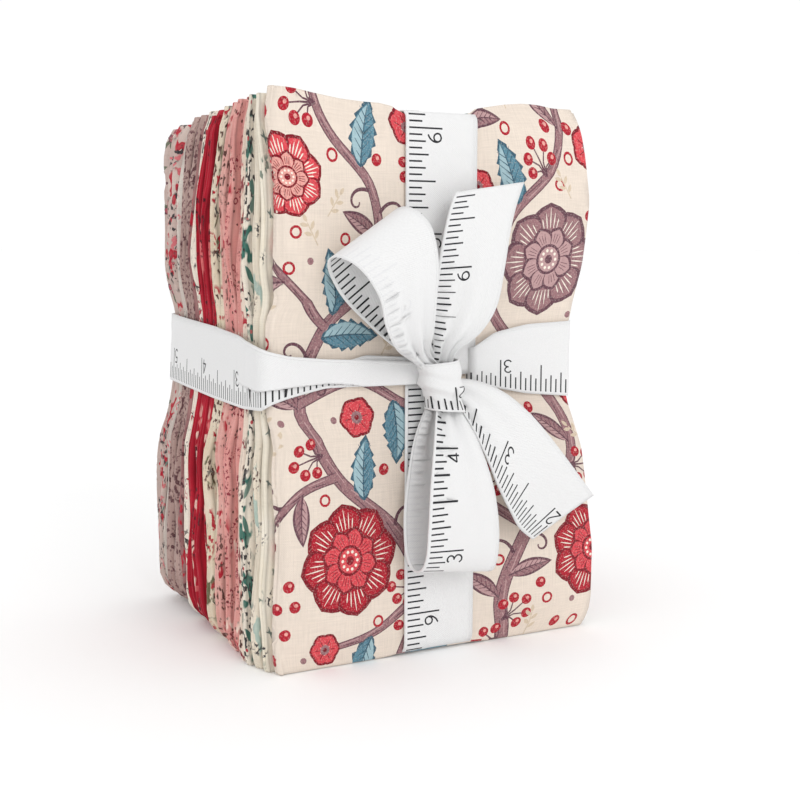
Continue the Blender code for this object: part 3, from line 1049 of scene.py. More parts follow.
def make_piece(name: str, made: tuple, seat: Seat, material: bpy.types.Material) -> bpy.types.Object:
    """Turns a thickened sheet into an object with its map and its inks.

    Args:
        name: the piece's name.
        made: what Sheet.thicken returns.
        seat: where the stack lies.
        material: its finish.

    Returns:
        The object, riding on the bundle's one body.
    """
    points, faces, maps, inks = made
    mesh = bpy.data.meshes.new(name)
    mesh.from_pydata(seat.metres(points).tolist(), [], faces)
    layer = mesh.uv_layers.new(name="Cloth")
    corners = np.array([place for face in maps for place in face]) * MM
    layer.data.foreach_set("uv", corners.ravel())
    tints = np.array([ink.linear for ink in INKS])
    counts = [len(face) for face in faces]
    colours = mesh.color_attributes.new("ink", "FLOAT_COLOR", "CORNER")
    colours.data.foreach_set("color", tints[np.repeat(inks, counts)].ravel())
    mesh.materials.append(material)
    mesh.shade_smooth()
    obj = bpy.data.objects.new(name, mesh)
    bpy.context.scene.collection.objects.link(obj)
    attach(obj, "root")
    return obj


BARE_X = -14.5  # a line up the stack that no tape covers
USUAL_Z = 110.0  # a height where the folds and edges lie as they usually do
LOW_POINT = 0.55  # the most that a lower edge keeps off the surface
FACE_STEP = 2.5  # spacing of the readings on the bundle's own front and back
FACE_LEFT = -45.0  # where those readings begin
FOLD_TURNS = (0.06, 0.13, 0.2, 0.27, 0.32, 0.37, 0.42, 0.47, 0.52, 0.57, 0.62, 0.67, 0.73, 0.8, 0.87, 0.94)
GROOVES = ((-0.13, 1.0, 0.2), (0.12, 0.75, 0.15))  # place, depth and width of the creases in a fold
CORNER = 0.6  # how much sharper than the solids the folds' upper corners are
STEP_IN = (3.4, 2.3, 1.0, 0.0)  # how far the first four fabrics' folds stand back, away from the tape
REAR_OUT = 1.4  # how far the rear folds stand out past the solids, at the tape and above
EDGE_HELD = 0.35  # how far the tape presses in the last fabric's free edge


class Stack:
    """The outline of every folded fabric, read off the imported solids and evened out."""

    def __init__(self, seat: Seat) -> None:
        """Feels along each solid.

        Args:
            seat: where the stack lies.
        """
        self.seat = seat
        self.z = np.arange(0.0, 142.5, 1.0)
        self.x = np.arange(-52.0, 54.5, 0.5)
        self.front, self.back, self.left, self.right, self.top, self.bottom = ([] for _ in range(6))
        for number in range(FABRICS):
            gauge = Gauge(f"fabric_{number + 1:02d}", seat)
            front = gauge.profile(self.z, lambda z: (BARE_X, -200.0, z), (0, 1, 0), 1)
            back = gauge.profile(self.z, lambda z: (BARE_X, 200.0, z), (0, -1, 0), 1)
            if number == 0:
                front = np.zeros_like(front) + 0.15
            if number == FABRICS - 1:
                back = gauge.profile(self.z, lambda z: (TAPE_X, 200.0, z), (0, -1, 0), 1)
            middle = smooth((front + back) / 2, 1.0, 3.0)
            leaf = smooth(0.72 * front + 0.28 * back, 1.0, 3.0)
            high, low = self.read(135.0, leaf), self.read(1.0, leaf)
            left = gauge.profile(
                self.z, lambda z: (-200.0, self.read(z, middle), z), (1, 0, 0), 0, (-60.0, -37.0)
            )
            right = gauge.profile(
                self.z, lambda z: (200.0, self.read(z, leaf), z), (-1, 0, 0), 0, (36.0, 60.0)
            )
            top = gauge.profile(self.x, lambda x: (x, high, 300.0), (0, 0, -1), 2, (131.5, 150.0))
            bottom = gauge.profile(self.x, lambda x: (x, low, -100.0), (0, 0, 1), 2, (-1.0, 2.5))
            self.front.append(smooth(front, 1.0, 3.0))
            self.back.append(smooth(back, 1.0, 3.0))
            self.left.append(self.stand(smooth(left, 1.0, 1.2), number))
            self.right.append(smooth(right, 1.0, 1.5))
            inside = np.clip(self.x, -40.0, 39.0)
            lift = 2.3 if number == 0 else 1.4 - 0.7 * float(ramp(number, 4, 16))
            raised = lift * ramp(-self.x, 22.0, 44.0)
            self.top.append(smooth(np.interp(inside, self.x, top), 0.5, 1.0) + raised)
            self.bottom.append(np.minimum(smooth(np.interp(inside, self.x, bottom), 0.5, 1.0), LOW_POINT))
        self.wander = [Wave(100 + i, 0.28, 46.0) for i in range(FABRICS + 1)]
        self.faces = {0: self.read_face(0, -1), FABRICS - 1: self.read_face(FABRICS - 1, 1)}

    def read(self, z: float, line: np.ndarray) -> float:
        """One of the stack's upright lines at a height."""
        return float(np.interp(z, self.z, line))

    def stand(self, left: np.ndarray, number: int) -> np.ndarray:
        """Sharpens a fold's corners and lets the rear folds stand out.

        Args:
            left: the fold's place at each height.
            number: the fabric.

        Returns:
            The corrected places.
        """
        upper = np.maximum(left - left[120], 0.0) * (self.z > 120.0)
        lower = np.maximum(left - left[14], 0.0) * (self.z < 14.0) * (1 - ramp(number, 3, 7))
        rear = REAR_OUT * ramp(number, 6, 16) * (ramp(self.z, 52.0, 68.0) - ramp(self.z, 98.0, 130.0))
        return left - CORNER * (upper + lower) - rear

    def read_face(self, number: int, side: int) -> np.ndarray:
        """How far the bundle's own front or back stands out of its plane.

        Args:
            number: the fabric.
            side: -1 for the front, 1 for the back.

        Returns:
            A grid over x and z.
        """
        gauge = Gauge(f"fabric_{number + 1:02d}", self.seat)
        xs = np.arange(FACE_LEFT, 49.0, FACE_STEP)
        zs = np.arange(0.0, 142.5, FACE_STEP)
        base = self.front[0] if side < 0 else self.back[-1]
        rows = []
        for x in xs:
            found = gauge.profile(zs, lambda z: (x, 200.0 * side, z), (0, -side, 0), 1)
            rows.append(side * (found - np.interp(zs, self.z, base)))
        grid = np.clip(np.array(rows), -1.2, 2.2)
        return smooth(smooth(grid, FACE_STEP, 2.6).T, FACE_STEP, 2.2).T

    def swell(self, number: int, x: np.ndarray, z: np.ndarray) -> np.ndarray:
        """Reads the face's grid between its points.

        Args:
            number: the fabric.
            x: places across.
            z: heights.

        Returns:
            How far the face stands out there.
        """
        grid = self.faces[number]
        a = np.clip((x - FACE_LEFT) / FACE_STEP, 0, grid.shape[0] - 1.001)
        b = np.clip(z / FACE_STEP, 0, grid.shape[1] - 1.001)
        i, j = a.astype(int), b.astype(int)
        s, t = a - i, b - j
        low = grid[i, j] * (1 - s) + grid[i + 1, j] * s
        high = grid[i, j + 1] * (1 - s) + grid[i + 1, j + 1] * s
        return low * (1 - t) + high * t

    def loose(self, z: np.ndarray) -> np.ndarray:
        """0 where the level tape holds the fabrics, 1 well away from it."""
        away = np.maximum(BAND[0] - z, z - BAND[1])
        return ramp(away, 0.0, 15.0)


@dataclass
class FoldedFabric:
    """One fat eighth: folded in four along its length, then folded over, its last fold on the left."""

    number: int  # 0 at the front
    stack: Stack
    cotton: Cotton
    slot: str
    pattern: Print | None = None
    ground: Ink = Ink.GROUND
    fold_groove: float = 1.05  # depth of the creases in its fold
    ragged: float = 0.7  # how uneven its free edges are

    def __post_init__(self) -> None:
        """Works out the leaf's usual ends."""
        stack, i = self.stack, self.number
        half = float(np.mean(stack.back[i] - stack.front[i])) / 2
        self.start = stack.read(USUAL_Z, stack.left[i]) + half
        self.end = stack.read(USUAL_Z, stack.right[i])
        self.wide = self.end - self.start
        self.fold_radius = half
        self.bend = pi * half
        self.is_front = i == 0
        self.is_back = i == FABRICS - 1
        self.pitch = (2 * half - CLOTH) / (2 * PLIES)
        self.insets = [CLOTH / 2 + 0.02 + self.pitch * k for k in range(PLIES)]
        self.seams = (
            stack.wander[i] if i else None,
            stack.wander[i + 1] if not self.is_back else None,
        )
        self.left_wave = Wave(300 + i, 0.45, 38.0)
        spread = 0.9 if i < 17 else 0.4
        self.proud = 0.0 if i < 3 else float(np.random.default_rng(700 + i).uniform(-spread, spread))
        self.step_in = float(np.interp(i, (0, 1, 2, 3), STEP_IN))
        self.ripple = (Wave(400 + i, 0.7, 60.0), Wave(500 + i, 0.7, 34.0))

    def place(self, across: np.ndarray, up: np.ndarray, inset: np.ndarray, ply: int) -> np.ndarray:
        """Folds points of a ply into place.

        Args:
            across: distance from the fold's front end, to the right on the front leaf, below 0 round the
                fold.
            up: height on the ply.
            inset: depth below the fabric's outer faces.
            ply: which ply they belong to, 0 being the outer one.

        Returns:
            Rows of x, y, z in the stack's millimetres.
        """
        stack, i = self.stack, self.number
        rear = across < -self.bend
        on_leaf = np.where(rear, -across - self.bend, np.maximum(across, 0.0))
        share = on_leaf / self.wide
        usual = self.start + on_leaf
        top = np.interp(usual, stack.x, stack.top[i]) - CLOTH / 2
        bottom = np.interp(usual, stack.x, stack.bottom[i]) + CLOTH / 2
        z = up + ramp(up, HEIGHT - 16, HEIGHT) * (top - HEIGHT) + (1 - ramp(up, 0, 12)) * bottom
        front = np.interp(z, stack.z, stack.front[i])
        back = np.interp(z, stack.z, stack.back[i])
        loose = stack.loose(z)
        if self.seams[0]:
            front = front + self.seams[0](z) * loose
        if self.seams[1]:
            back = back + self.seams[1](z) * loose
        half = (back - front) / 2
        stepped = self.step_in * (1.0 - 0.75 * ramp(z, 112.0, 136.0)) * np.minimum(0.25 + 2.0 * loose, 1.0)
        left = np.interp(z, stack.z, stack.left[i]) + (self.left_wave(z) + self.proud) * loose + stepped
        right = np.interp(z, stack.z, stack.right[i])
        centre = left + half
        draw = Wave(600 + 10 * i + ply, 1.0, 80.0)
        trim = self.ragged * (0.9 + 0.5 * draw(z + 40.0 * rear)) * (0.45 + 0.55 * loose)
        x = (
            usual
            + (centre - self.start) * (1 - ramp(share, 0.0, 0.35))
            + (right - self.end - trim) * ramp(share, 0.35, 1.0)
        )
        out = np.zeros_like(x)
        if self.is_front:
            out = np.where(rear, 0.0, -stack.swell(i, x, z) * ramp(inset, self.insets[3], self.insets[0]))
        if self.is_back:
            held = EDGE_HELD * ramp(share, 0.9, 0.99) * (1.0 - loose) * (1.0 - inset / half)
            out = stack.swell(i, x, z) * ramp(-inset, -self.insets[3], -self.insets[0]) - held
            out = np.where(rear, out, 0.0)
        y = np.where(rear, back - inset, front + inset) + out
        turn = np.clip(-across / self.fold_radius, 0.0, pi)
        radius = half - inset
        creases = self.creases(turn, z) * (0.35 + 0.65 * loose) * (1.0 - inset / (half + 0.4))
        on_fold = (across < 0) & ~rear
        reach, aside = np.sin(turn) ** 1.2, np.sign(np.cos(turn)) * np.abs(np.cos(turn)) ** 1.3
        x = np.where(on_fold, centre - radius * reach + creases, x)
        y = np.where(on_fold, (front + back) / 2 - radius * aside, y)
        return np.column_stack([x, y, z])

    def creases(self, turn: np.ndarray, z: np.ndarray) -> np.ndarray:
        """The creases that run up the fold.

        Args:
            turn: direction round the fold, from 0 at its front to pi at its rear.
            z: height.

        Returns:
            How far they draw the cloth in where nothing holds it.
        """
        depth = np.zeros_like(z)
        for k, (shift, deep, wide) in enumerate(GROOVES):
            middle = pi * (0.5 + shift) + 0.34 * self.ripple[k](z)
            strength = deep * (0.55 + 0.45 * self.ripple[1 - k](z + 50.0))
            depth = depth + strength * np.exp(-(((turn - middle) / wide) ** 2))
        return depth * self.fold_groove

    def columns(self) -> np.ndarray:
        """Places across a ply where a plain fabric gets points.

        Returns:
            Distances as place takes them, from the front leaf's free edge to the rear leaf's.
        """
        spots = [-38, -27, -16, -12.7, -9.4, 0.5, 10.4, 13.7, 20, 29, 36, 41, 45]
        leaf = [0.0, 3.0, *(x - self.start for x in spots if x - self.start < self.wide - 1), self.wide]
        bend = [self.bend * share for share in FOLD_TURNS]
        line = sorted(leaf, reverse=True) + [-b for b in bend] + [-self.bend - a for a in leaf]
        return np.array(line)

    def rows(self, count: int, low: float, high: float) -> np.ndarray:
        """Heights of a ply's points, closer at its ends.

        Args:
            count: how many.
            low: the lowest.
            high: the highest.

        Returns:
            The heights, upwards.
        """
        ends = [0.0, 0.9, 2.2, 4.5, 8.0, 12.5]
        inner = np.linspace(17.0, HEIGHT - 18.0, count - 2 * len(ends))
        line = np.array([*ends, *inner, *(HEIGHT - e for e in reversed(ends))])
        return np.clip(line, low, high)

    def chain(self, sheet: Sheet, first: Sequence[int], across: np.ndarray, steps: Sequence[tuple]) -> None:
        """Carries on from a row of points through further rows.

        Args:
            sheet: what they are added to.
            first: the point numbers of the row to start from.
            across: that row's places across.
            steps: for each further row its height, its inset, its ply and its place along the flat cloth.
        """
        middles = (across[1:] + across[:-1]) / 2
        held = list(first)
        for up, inset, ply, run in steps:
            count = len(across)
            points = self.place(across, np.full(count, up), np.full(count, inset), ply)
            start = sheet.add(points, np.column_stack([across, np.full(count, run)]))
            ink = [INKS.index(self.ground)] * len(middles)
            if self.pattern and ply == 0:
                edge = 0.3 if run < HEIGHT / 2 else HEIGHT - 0.3
                ink = [INKS.index(self.pattern.under((a, edge)) or self.ground) for a in middles]
            row = list(range(start, start + count))
            sheet.skin(held, row, ink)
            held = row

    def inner_steps(self) -> tuple[list, list]:
        """The rows beyond the outer ply.

        Returns:
            Those over the top fold, into the second and third plies, then those round the bottom into the
            fourth.
        """
        a, b, c, d = self.insets
        tight, wide = (b - a) / 2, (d - a) / 2
        top, run = [], HEIGHT
        for k in (1, 2, 3):
            turn = pi * k / 4
            up = HEIGHT - tight + tight * sin(turn)
            top.append((up, (a + b) / 2 - tight * cos(turn), 0, run + 0.2 * k))
        levels = self.rows(24, 1.3, HEIGHT - tight)
        top += [(up, b, 1, run + 1 + HEIGHT - up) for up in levels[::-1]]
        run += HEIGHT + 1
        for k in (1, 2, 3):
            turn = pi * k / 4
            top.append((1.3 - tight * sin(turn), (b + c) / 2 - tight * cos(turn), 2, run + 0.2 * k))
        top += [(up, c, 2, run + 1 + up) for up in self.rows(24, 1.3, HEIGHT - 0.7)]
        low = []
        for k in (1, 2, 3, 4, 5):
            turn = pi * k / 6
            up = wide - wide * sin(turn)
            low.append((up, (a + d) / 2 - wide * cos(turn), 0 if k < 3 else 3, -0.35 * k))
        low += [(up, d, 3, -2.0 - up) for up in self.rows(24, wide, HEIGHT - 1.0)]
        return top, low

    def build(self) -> Sheet:
        """Lays the whole cloth.

        Returns:
            The sheet, still without thickness.
        """
        sheet = Sheet()
        tight = (self.insets[1] - self.insets[0]) / 2
        wide = (self.insets[3] - self.insets[0]) / 2
        low, high = wide, HEIGHT - tight
        if self.pattern:
            first, last, across_low, across_high = self.printed(sheet, low, high)
        else:
            across_low = across_high = self.columns()
            heights = self.rows(44, low, high)
            rows = []
            for up in heights:
                count = len(across_low)
                points = self.place(across_low, np.full(count, up), np.full(count, self.insets[0]), 0)
                start = sheet.add(points, np.column_stack([across_low, np.full(count, up)]))
                rows.append(list(range(start, start + count)))
            plain = [INKS.index(self.ground)] * (len(across_low) - 1)
            for under, over in zip(rows, rows[1:]):
                sheet.skin(under, over, plain)
            first, last = rows[0], rows[-1]
        top, bottom = self.inner_steps()
        self.chain(sheet, last, across_high, top)
        mark = len(sheet.faces)
        self.chain(sheet, first, across_low, bottom)
        sheet.faces[mark:] = [tuple(reversed(face)) for face in sheet.faces[mark:]]
        return sheet

    def printed(self, sheet: Sheet, low: float, high: float) -> tuple:
        """Lays the outer ply in triangles that follow its print.

        Args:
            sheet: what it is added to.
            low: its lowest height.
            high: its highest.

        Returns:
            The point numbers of its lowest and highest rows, then their places across.
        """
        left, right = -self.bend - self.wide, self.wide
        spots = self.columns()
        heights = self.rows(58, low, high)[1:-1]
        edge = [(a, low) for a in sorted(spots)] + [(right, up) for up in heights]
        edge += [(a, high) for a in sorted(spots, reverse=True)] + [(left, up) for up in heights[::-1]]
        face = np.arange(1.8, self.wide - 0.6, 2.0)
        bend = [-self.bend * share for share in (0.0, *FOLD_TURNS, 1.0)]
        few = (4.0, 16.0, 34.0, 56.0, 78.0)
        shown, hidden = [*face, *bend], [-self.bend - a for a in few]
        if self.is_back:
            shown, hidden = [*(-self.bend - face), *bend], few
        inner = [(a, up) for a in shown for up in heights]
        inner += [(a, up) for a in hidden for up in heights[::3]]
        points, tris, inks = self.pattern.cut(edge, np.array(inner), self.ground)
        inset = np.full(len(points), self.insets[0])
        start = sheet.add(self.place(points[:, 0], points[:, 1], inset, 0), points)
        sheet.tile(points, tris, inks, start, False)
        ends = []
        for level in (low, high):
            row = [i for i in range(len(points)) if abs(points[i, 1] - level) < 1e-5]
            row.sort(key=lambda i: -points[i, 0])
            ends.append((row, points[row, 0]))
        return [i + start for i in ends[0][0]], [i + start for i in ends[1][0]], ends[0][1], ends[1][1]

    def make(self) -> None:
        """Builds, dresses and reports the fabric, and hides its imported solid."""
        name = f"fabric_{self.number + 1:02d}"
        made = self.build().thicken(CLOTH, {})
        # where this fold meets its neighbours, which the cotton darkens as painted shade
        seams = [] if self.is_front else [0.0]
        seams += [] if self.is_back else [-self.bend]
        obj = make_piece(f"{name}_cloth", made, self.stack.seat, self.cotton.dress(seams))
        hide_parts(name)
        LOG.info("%s: %d faces", obj.name, len(obj.data.polygons))


class Digit(Enum):
    """Plain numbers, each a few lines on a grid 1 wide and 2 high."""

    ONE = (((0.15, 1.55), (0.5, 2.0), (0.5, 0.0)),)
    TWO = (((0.05, 1.5), (0.2, 1.88), (0.55, 2.0), (0.88, 1.82), (0.95, 1.45), (0.75, 1.05), (0.1, 0.1)),
           ((0.02, 0.06), (1.0, 0.06)))
    THREE = (((0.08, 1.7), (0.3, 1.95), (0.65, 1.95), (0.88, 1.7), (0.85, 1.35), (0.62, 1.12), (0.4, 1.08)),
             ((0.4, 1.08), (0.72, 1.0), (0.95, 0.72), (0.92, 0.32), (0.65, 0.05), (0.3, 0.05), (0.05, 0.3)))
    FOUR = (((0.72, 0.0), (0.72, 2.0)), ((0.72, 1.95), (0.04, 0.62)), ((0.0, 0.58), (1.0, 0.58)))
    FIVE = (((0.9, 1.94), (0.2, 1.94)), ((0.22, 1.96), (0.12, 1.1)),
            ((0.12, 1.1), (0.45, 1.25), (0.8, 1.1), (0.96, 0.72), (0.88, 0.3), (0.55, 0.05), (0.25, 0.07),
             (0.05, 0.28)))
    SIX = (((0.82, 1.9), (0.4, 1.6), (0.12, 1.1), (0.06, 0.6), (0.25, 0.16), (0.55, 0.06)),
           ((0.5, 0.06), (0.82, 0.2), (0.96, 0.55), (0.82, 0.95), (0.5, 1.08), (0.2, 0.92), (0.1, 0.6)))
    SEVEN = (((0.05, 1.94), (0.95, 1.94)), ((0.95, 1.94), (0.5, 1.0), (0.35, 0.0)))
    EIGHT = (((0.54, 1.06), (0.2, 1.22), (0.12, 1.6), (0.3, 1.9), (0.56, 1.96)),
             ((0.44, 1.96), (0.7, 1.9), (0.88, 1.6), (0.8, 1.22), (0.46, 1.06)),
             ((0.54, 1.1), (0.14, 0.86), (0.04, 0.42), (0.28, 0.08), (0.56, 0.04)),
             ((0.44, 0.04), (0.72, 0.08), (0.96, 0.42), (0.86, 0.86), (0.46, 1.1)))
    NINE = (((0.18, 0.1), (0.6, 0.4), (0.88, 0.9), (0.94, 1.4), (0.75, 1.84), (0.45, 1.94)),
            ((0.5, 1.94), (0.18, 1.8), (0.04, 1.45), (0.18, 1.05), (0.5, 0.92), (0.8, 1.08), (0.9, 1.4)))


DIGITS = list(Digit)


@dataclass(frozen=True)
class Scale:
    """The scale printed along one edge of the tape: sixteen marks to the inch and plain numbers."""

    zero: float  # place of one long mark along the tape
    first: int  # its number
    flip: bool = False  # whether the scale is on the tape's other edge
    inward: bool = False  # whether the printed side looks the other way
    mute: float = 0.0  # no number stands before this place
    join: float = 1e9  # where the numbers start afresh
    late: int = 0  # by how many marks
    start: float = 0.8  # gap between the tape's edge and the marks
    stroke: float = 0.42  # thickness of a mark
    lengths: tuple[tuple[int, float], ...] = ((16, 9.2), (8, 7.4), (4, 5.4), (2, 4.6), (1, 3.6))

    def draw(self, length: float, from_mark: float) -> Print:
        """Draws the marks and numbers on a length of tape.

        Args:
            length: how long the tape is.
            from_mark: nothing is printed before this place.

        Returns:
            The print, along the tape and across it.
        """
        made = Print()
        count = int(length / (INCH / 16)) + 34
        for mark in range(-count, count):
            run = self.zero + mark * INCH / 16
            if not max(0.3, from_mark) < run < length - 0.3:
                continue
            place = mark - (self.late if run > self.join else 0)
            reach = next(size for every, size in self.lengths if place % every == 0)
            self.bar(made, run, self.start, self.start + reach)
            if place % 16 == 0 and run > self.mute:
                self.number(made, run, (self.first + self.way * (place // 16) - 1) % 9)
        return made

    @property
    def way(self) -> int:
        """1 where the numbers run on along the tape, -1 where they run back."""
        return -1 if self.flip != self.inward else 1

    def across(self, w: float) -> float:
        """A place across the tape, counted from its printed edge."""
        return TAPE_WIDE - w if self.flip else w

    def bar(self, made: Print, run: float, low: float, high: float) -> None:
        """Draws one mark across the tape.

        Args:
            made: the print that it is added to.
            run: its place along the tape.
            low: its start across the tape, counted from the printed edge.
            high: its end.
        """
        half = self.stroke / 2
        low, high = sorted((self.across(low), self.across(high)))
        left, right = run - half, run + half
        made.shape([(left, low), (right, low), (right, high), (left, high)], Ink.CHARCOAL)

    def number(self, made: Print, run: float, which: int) -> None:
        """Draws one number, just before its long mark and with its head towards the marks.

        Args:
            made: the print that it is added to.
            run: the long mark's place along the tape.
            which: its place in DIGITS.
        """
        for line in DIGITS[which].value:
            path = [(run - self.way * (3.4 - 2.3 * x), self.across(9.8 - 2.0 * y)) for x, y in line]
            if len(path) > 2:
                path = through(path, 3)
            made.stroke(path, 0.44, Ink.CHARCOAL)


@dataclass
class TapePiece:
    """One length of tape through rows of edge points."""

    name: str
    node: str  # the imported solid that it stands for
    rows: np.ndarray  # x, y, z of one edge, then of the other
    seat: Seat
    material: bpy.types.Material
    scale: Scale
    step: float = 1.2  # spacing of its points along it
    across: int = 10  # how many steps it has across
    cup: float = 0.0  # how far it bows across its width
    pleats: float = 0.0  # depth of the small folds where it is drawn in
    crease: Callable | None = None  # how far it stands out from place to place
    pleat: Callable | None = None  # how much of its printed strip shows beside a lengthwise pleat
    from_mark: float = 0.0  # nothing is printed before this place

    def __post_init__(self) -> None:
        """Measures the tape along its middle."""
        self.runs = distances((self.rows[:, :3] + self.rows[:, 3:]) / 2)
        self.length = float(self.runs[-1])

    def edges(self, run: np.ndarray) -> tuple[np.ndarray, np.ndarray]:
        """The points of the tape's one edge and of its other, at distances along its middle."""
        columns = [np.interp(run, self.runs, self.rows[:, k]) for k in range(6)]
        return np.column_stack(columns[:3]), np.column_stack(columns[3:])

    def place(self, run: np.ndarray, w: np.ndarray) -> np.ndarray:
        """Points of the tape's middle surface.

        Args:
            run: distances along the tape.
            w: distances across it, from 0 to its width.

        Returns:
            Rows of x, y, z in the stack's millimetres.
        """
        one, two = self.edges(np.clip(run, 0.0, self.length))
        ahead, _ = self.edges(np.clip(run + 0.4, 0.0, self.length))
        behind, _ = self.edges(np.clip(run - 0.4, 0.0, self.length))
        across = two - one
        wide = np.linalg.norm(across, axis=1)
        normal = np.cross(across, ahead - behind)
        normal /= np.maximum(np.linalg.norm(normal, axis=1, keepdims=True), 1e-9)
        share, raised = self.folded(run, w) if self.pleat else (w / TAPE_WIDE, 0.0 * w)
        spare = np.clip(1.0 - wide / TAPE_WIDE, 0.0, 0.75)
        wave = self.pleats * spare**0.5 * np.sin(2 * pi * 2.5 * (share - 0.5)) * np.minimum(wide / 8.0, 1.0)
        bowl = self.cup * (4 * (share - 0.5) ** 2 - 0.33)
        lift = wave + bowl
        if self.crease:
            lift = lift + self.crease(run, w)
        return one + across * share[:, None] + normal * (lift + raised)[:, None]

    def folded(self, run: np.ndarray, w: np.ndarray) -> tuple[np.ndarray, np.ndarray]:
        """Lays the tape in a pleat, its upper part over its printed strip.

        Args:
            run: distances along the tape.
            w: distances across it.

        Returns:
            The places across the pleated tape as a share of its height, and how far they are raised.
        """
        hidden = PRINTED - self.pleat(run)
        back = np.clip(w - PRINTED, 0.0, hidden)
        flap = np.maximum(w - PRINTED - hidden, 0.0)
        share = (np.minimum(w, PRINTED) - back + flap) / (TAPE_WIDE - 2 * hidden)
        over = back / np.maximum(hidden, 1e-6) * np.minimum(hidden / 1.2, 1.0)
        return share, 0.95 * over

    def inner(self, runs: np.ndarray, widths: np.ndarray) -> np.ndarray:
        """Places inside the tape's outline that its surface is bent at.

        Args:
            runs: distances along it.
            widths: distances across it.

        Returns:
            Rows of both.
        """
        spots = [(r, w) for r in runs[1:-1] for w in widths[1:-1]]
        if self.pleat:
            folds = [r for r in runs[1:-1] if PRINTED - float(self.pleat(r)) > 0.05]
            spots += [(r, w) for r in folds for w in np.linspace(0.7, TAPE_WIDE - 0.7, 28)]
            spots += [(r, PRINTED + 0.01) for r in folds]
            spots += [(r, 2 * PRINTED - float(self.pleat(r)) + 0.01) for r in folds]
        return np.array(spots)

    def make(self) -> None:
        """Builds, dresses and reports the piece, and hides its imported solid."""
        art = self.scale.draw(self.length, self.from_mark)
        count = max(4, round(self.length / self.step))
        runs = np.linspace(0.0, self.length, count + 1)
        widths = np.linspace(0.0, TAPE_WIDE, self.across + 1)
        edge = [(r, 0.0) for r in runs] + [(self.length, w) for w in widths[1:-1]]
        edge += [(r, TAPE_WIDE) for r in runs[::-1]] + [(0.0, w) for w in widths[-2:0:-1]]
        points, tris, inks = art.cut(edge, self.inner(runs, widths), Ink.WHITE)
        sheet = Sheet()
        start = sheet.add(self.place(points[:, 0], points[:, 1]), points)
        sheet.tile(points, tris, inks, start, self.scale.inward)
        made = sheet.thicken(TAPE, {INKS.index(Ink.CHARCOAL): INKS.index(Ink.GHOST)})
        obj = make_piece(self.name, made, self.seat, self.material)
        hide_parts(self.node)
        LOG.info("%s: %.0f mm, %d faces", obj.name, self.length, len(obj.data.polygons))


# The bow, edge by edge: each row is a place along the tape, x y z of one edge, then of the other.
UPPER_LOOP = (
    (-4.6, -6.6, 70.6, -2.6, -7.2, 73.6),
    (-10.8, -8.2, 75.2, -7.6, -9.2, 78.2),
    (-17.6, -12.6, 78.8, -8.8, -13.0, 84.0),
    (-21.8, -15.0, 84.6, -9.0, -15.0, 92.0),
    (-24.0, -15.8, 91.5, -8.6, -15.0, 100.2),
    (-28.4, -15.0, 97.8, -9.6, -13.6, 107.8),
    (-32.0, -12.0, 100.6, -13.0, -11.4, 111.8),
    (-33.0, -7.8, 100.2, -15.4, -8.0, 112.0),
    (-31.6, -4.6, 97.0, -15.4, -5.2, 109.4),
    (-27.4, -3.4, 90.8, -12.0, -4.4, 103.0),
    (-20.9, -3.2, 84.6, -8.4, -4.2, 94.0),
    (-14.8, -4.0, 79.4, -6.8, -4.6, 86.6),
    (-9.6, -5.4, 76.6, -5.2, -5.6, 80.4),
    (-4.4, -5.2, 71.0, -1.4, -5.2, 75.0),
)
LOWER_LOOP = (
    (-2.8, -6.6, 69.0, 1.2, -6.8, 69.0),
    (-5.0, -8.0, 64.0, 2.6, -8.2, 63.4),
    (-7.8, -12.0, 56.6, 5.0, -12.2, 55.8),
    (-9.6, -13.8, 46.0, 8.0, -14.0, 45.4),
    (-9.9, -13.6, 36.0, 9.8, -13.8, 36.0),
    (-9.9, -12.6, 28.6, 10.4, -12.8, 27.6),
    (-10.2, -10.2, 24.8, 10.4, -10.4, 22.8),
    (-11.0, -7.0, 24.6, 9.4, -7.2, 22.6),
    (-11.6, -4.8, 28.8, 8.6, -4.8, 27.4),
    (-11.2, -3.6, 38.0, 8.0, -3.6, 37.4),
    (-9.8, -3.4, 48.0, 6.0, -3.4, 48.0),
    (-8.0, -3.4, 56.4, 3.0, -3.4, 56.4),
    (-5.2, -4.2, 64.0, 1.6, -4.2, 64.0),
    (-2.8, -4.8, 69.0, 1.0, -4.8, 69.0),
)
UPPER_TAIL = (
    (-4.4, -6.0, 75.0, 0.0, -6.8, 74.6),
    (-4.6, -6.4, 78.6, 1.4, -7.2, 78.2),
    (-5.6, -7.6, 84.0, 6.6, -9.4, 82.6),
    (-5.8, -8.4, 90.0, 11.0, -9.6, 89.0),
    (-5.0, -8.6, 97.6, 13.8, -8.6, 98.6),
    (-3.4, -8.0, 104.6, 16.2, -7.0, 106.4),
    (-1.4, -7.0, 110.8, 18.6, -5.8, 112.8),
    (0.9, -6.4, 116.2, 21.2, -5.4, 119.2),
)
LOWER_TAIL = (
    (-0.6, -5.6, 70.6, -1.0, -6.4, 66.6),
    (4.0, -6.2, 70.8, 2.0, -7.4, 63.6),
    (9.4, -7.4, 69.6, 4.6, -9.4, 58.2),
    (16.0, -8.2, 66.2, 7.8, -10.6, 51.2),
    (22.8, -8.8, 60.4, 11.6, -10.6, 43.4),
    (30.0, -8.4, 53.0, 15.8, -9.6, 36.8),
    (37.0, -7.2, 45.6, 19.6, -8.2, 31.8),
    (44.2, -6.0, 37.8, 24.4, -7.0, 28.2),
)

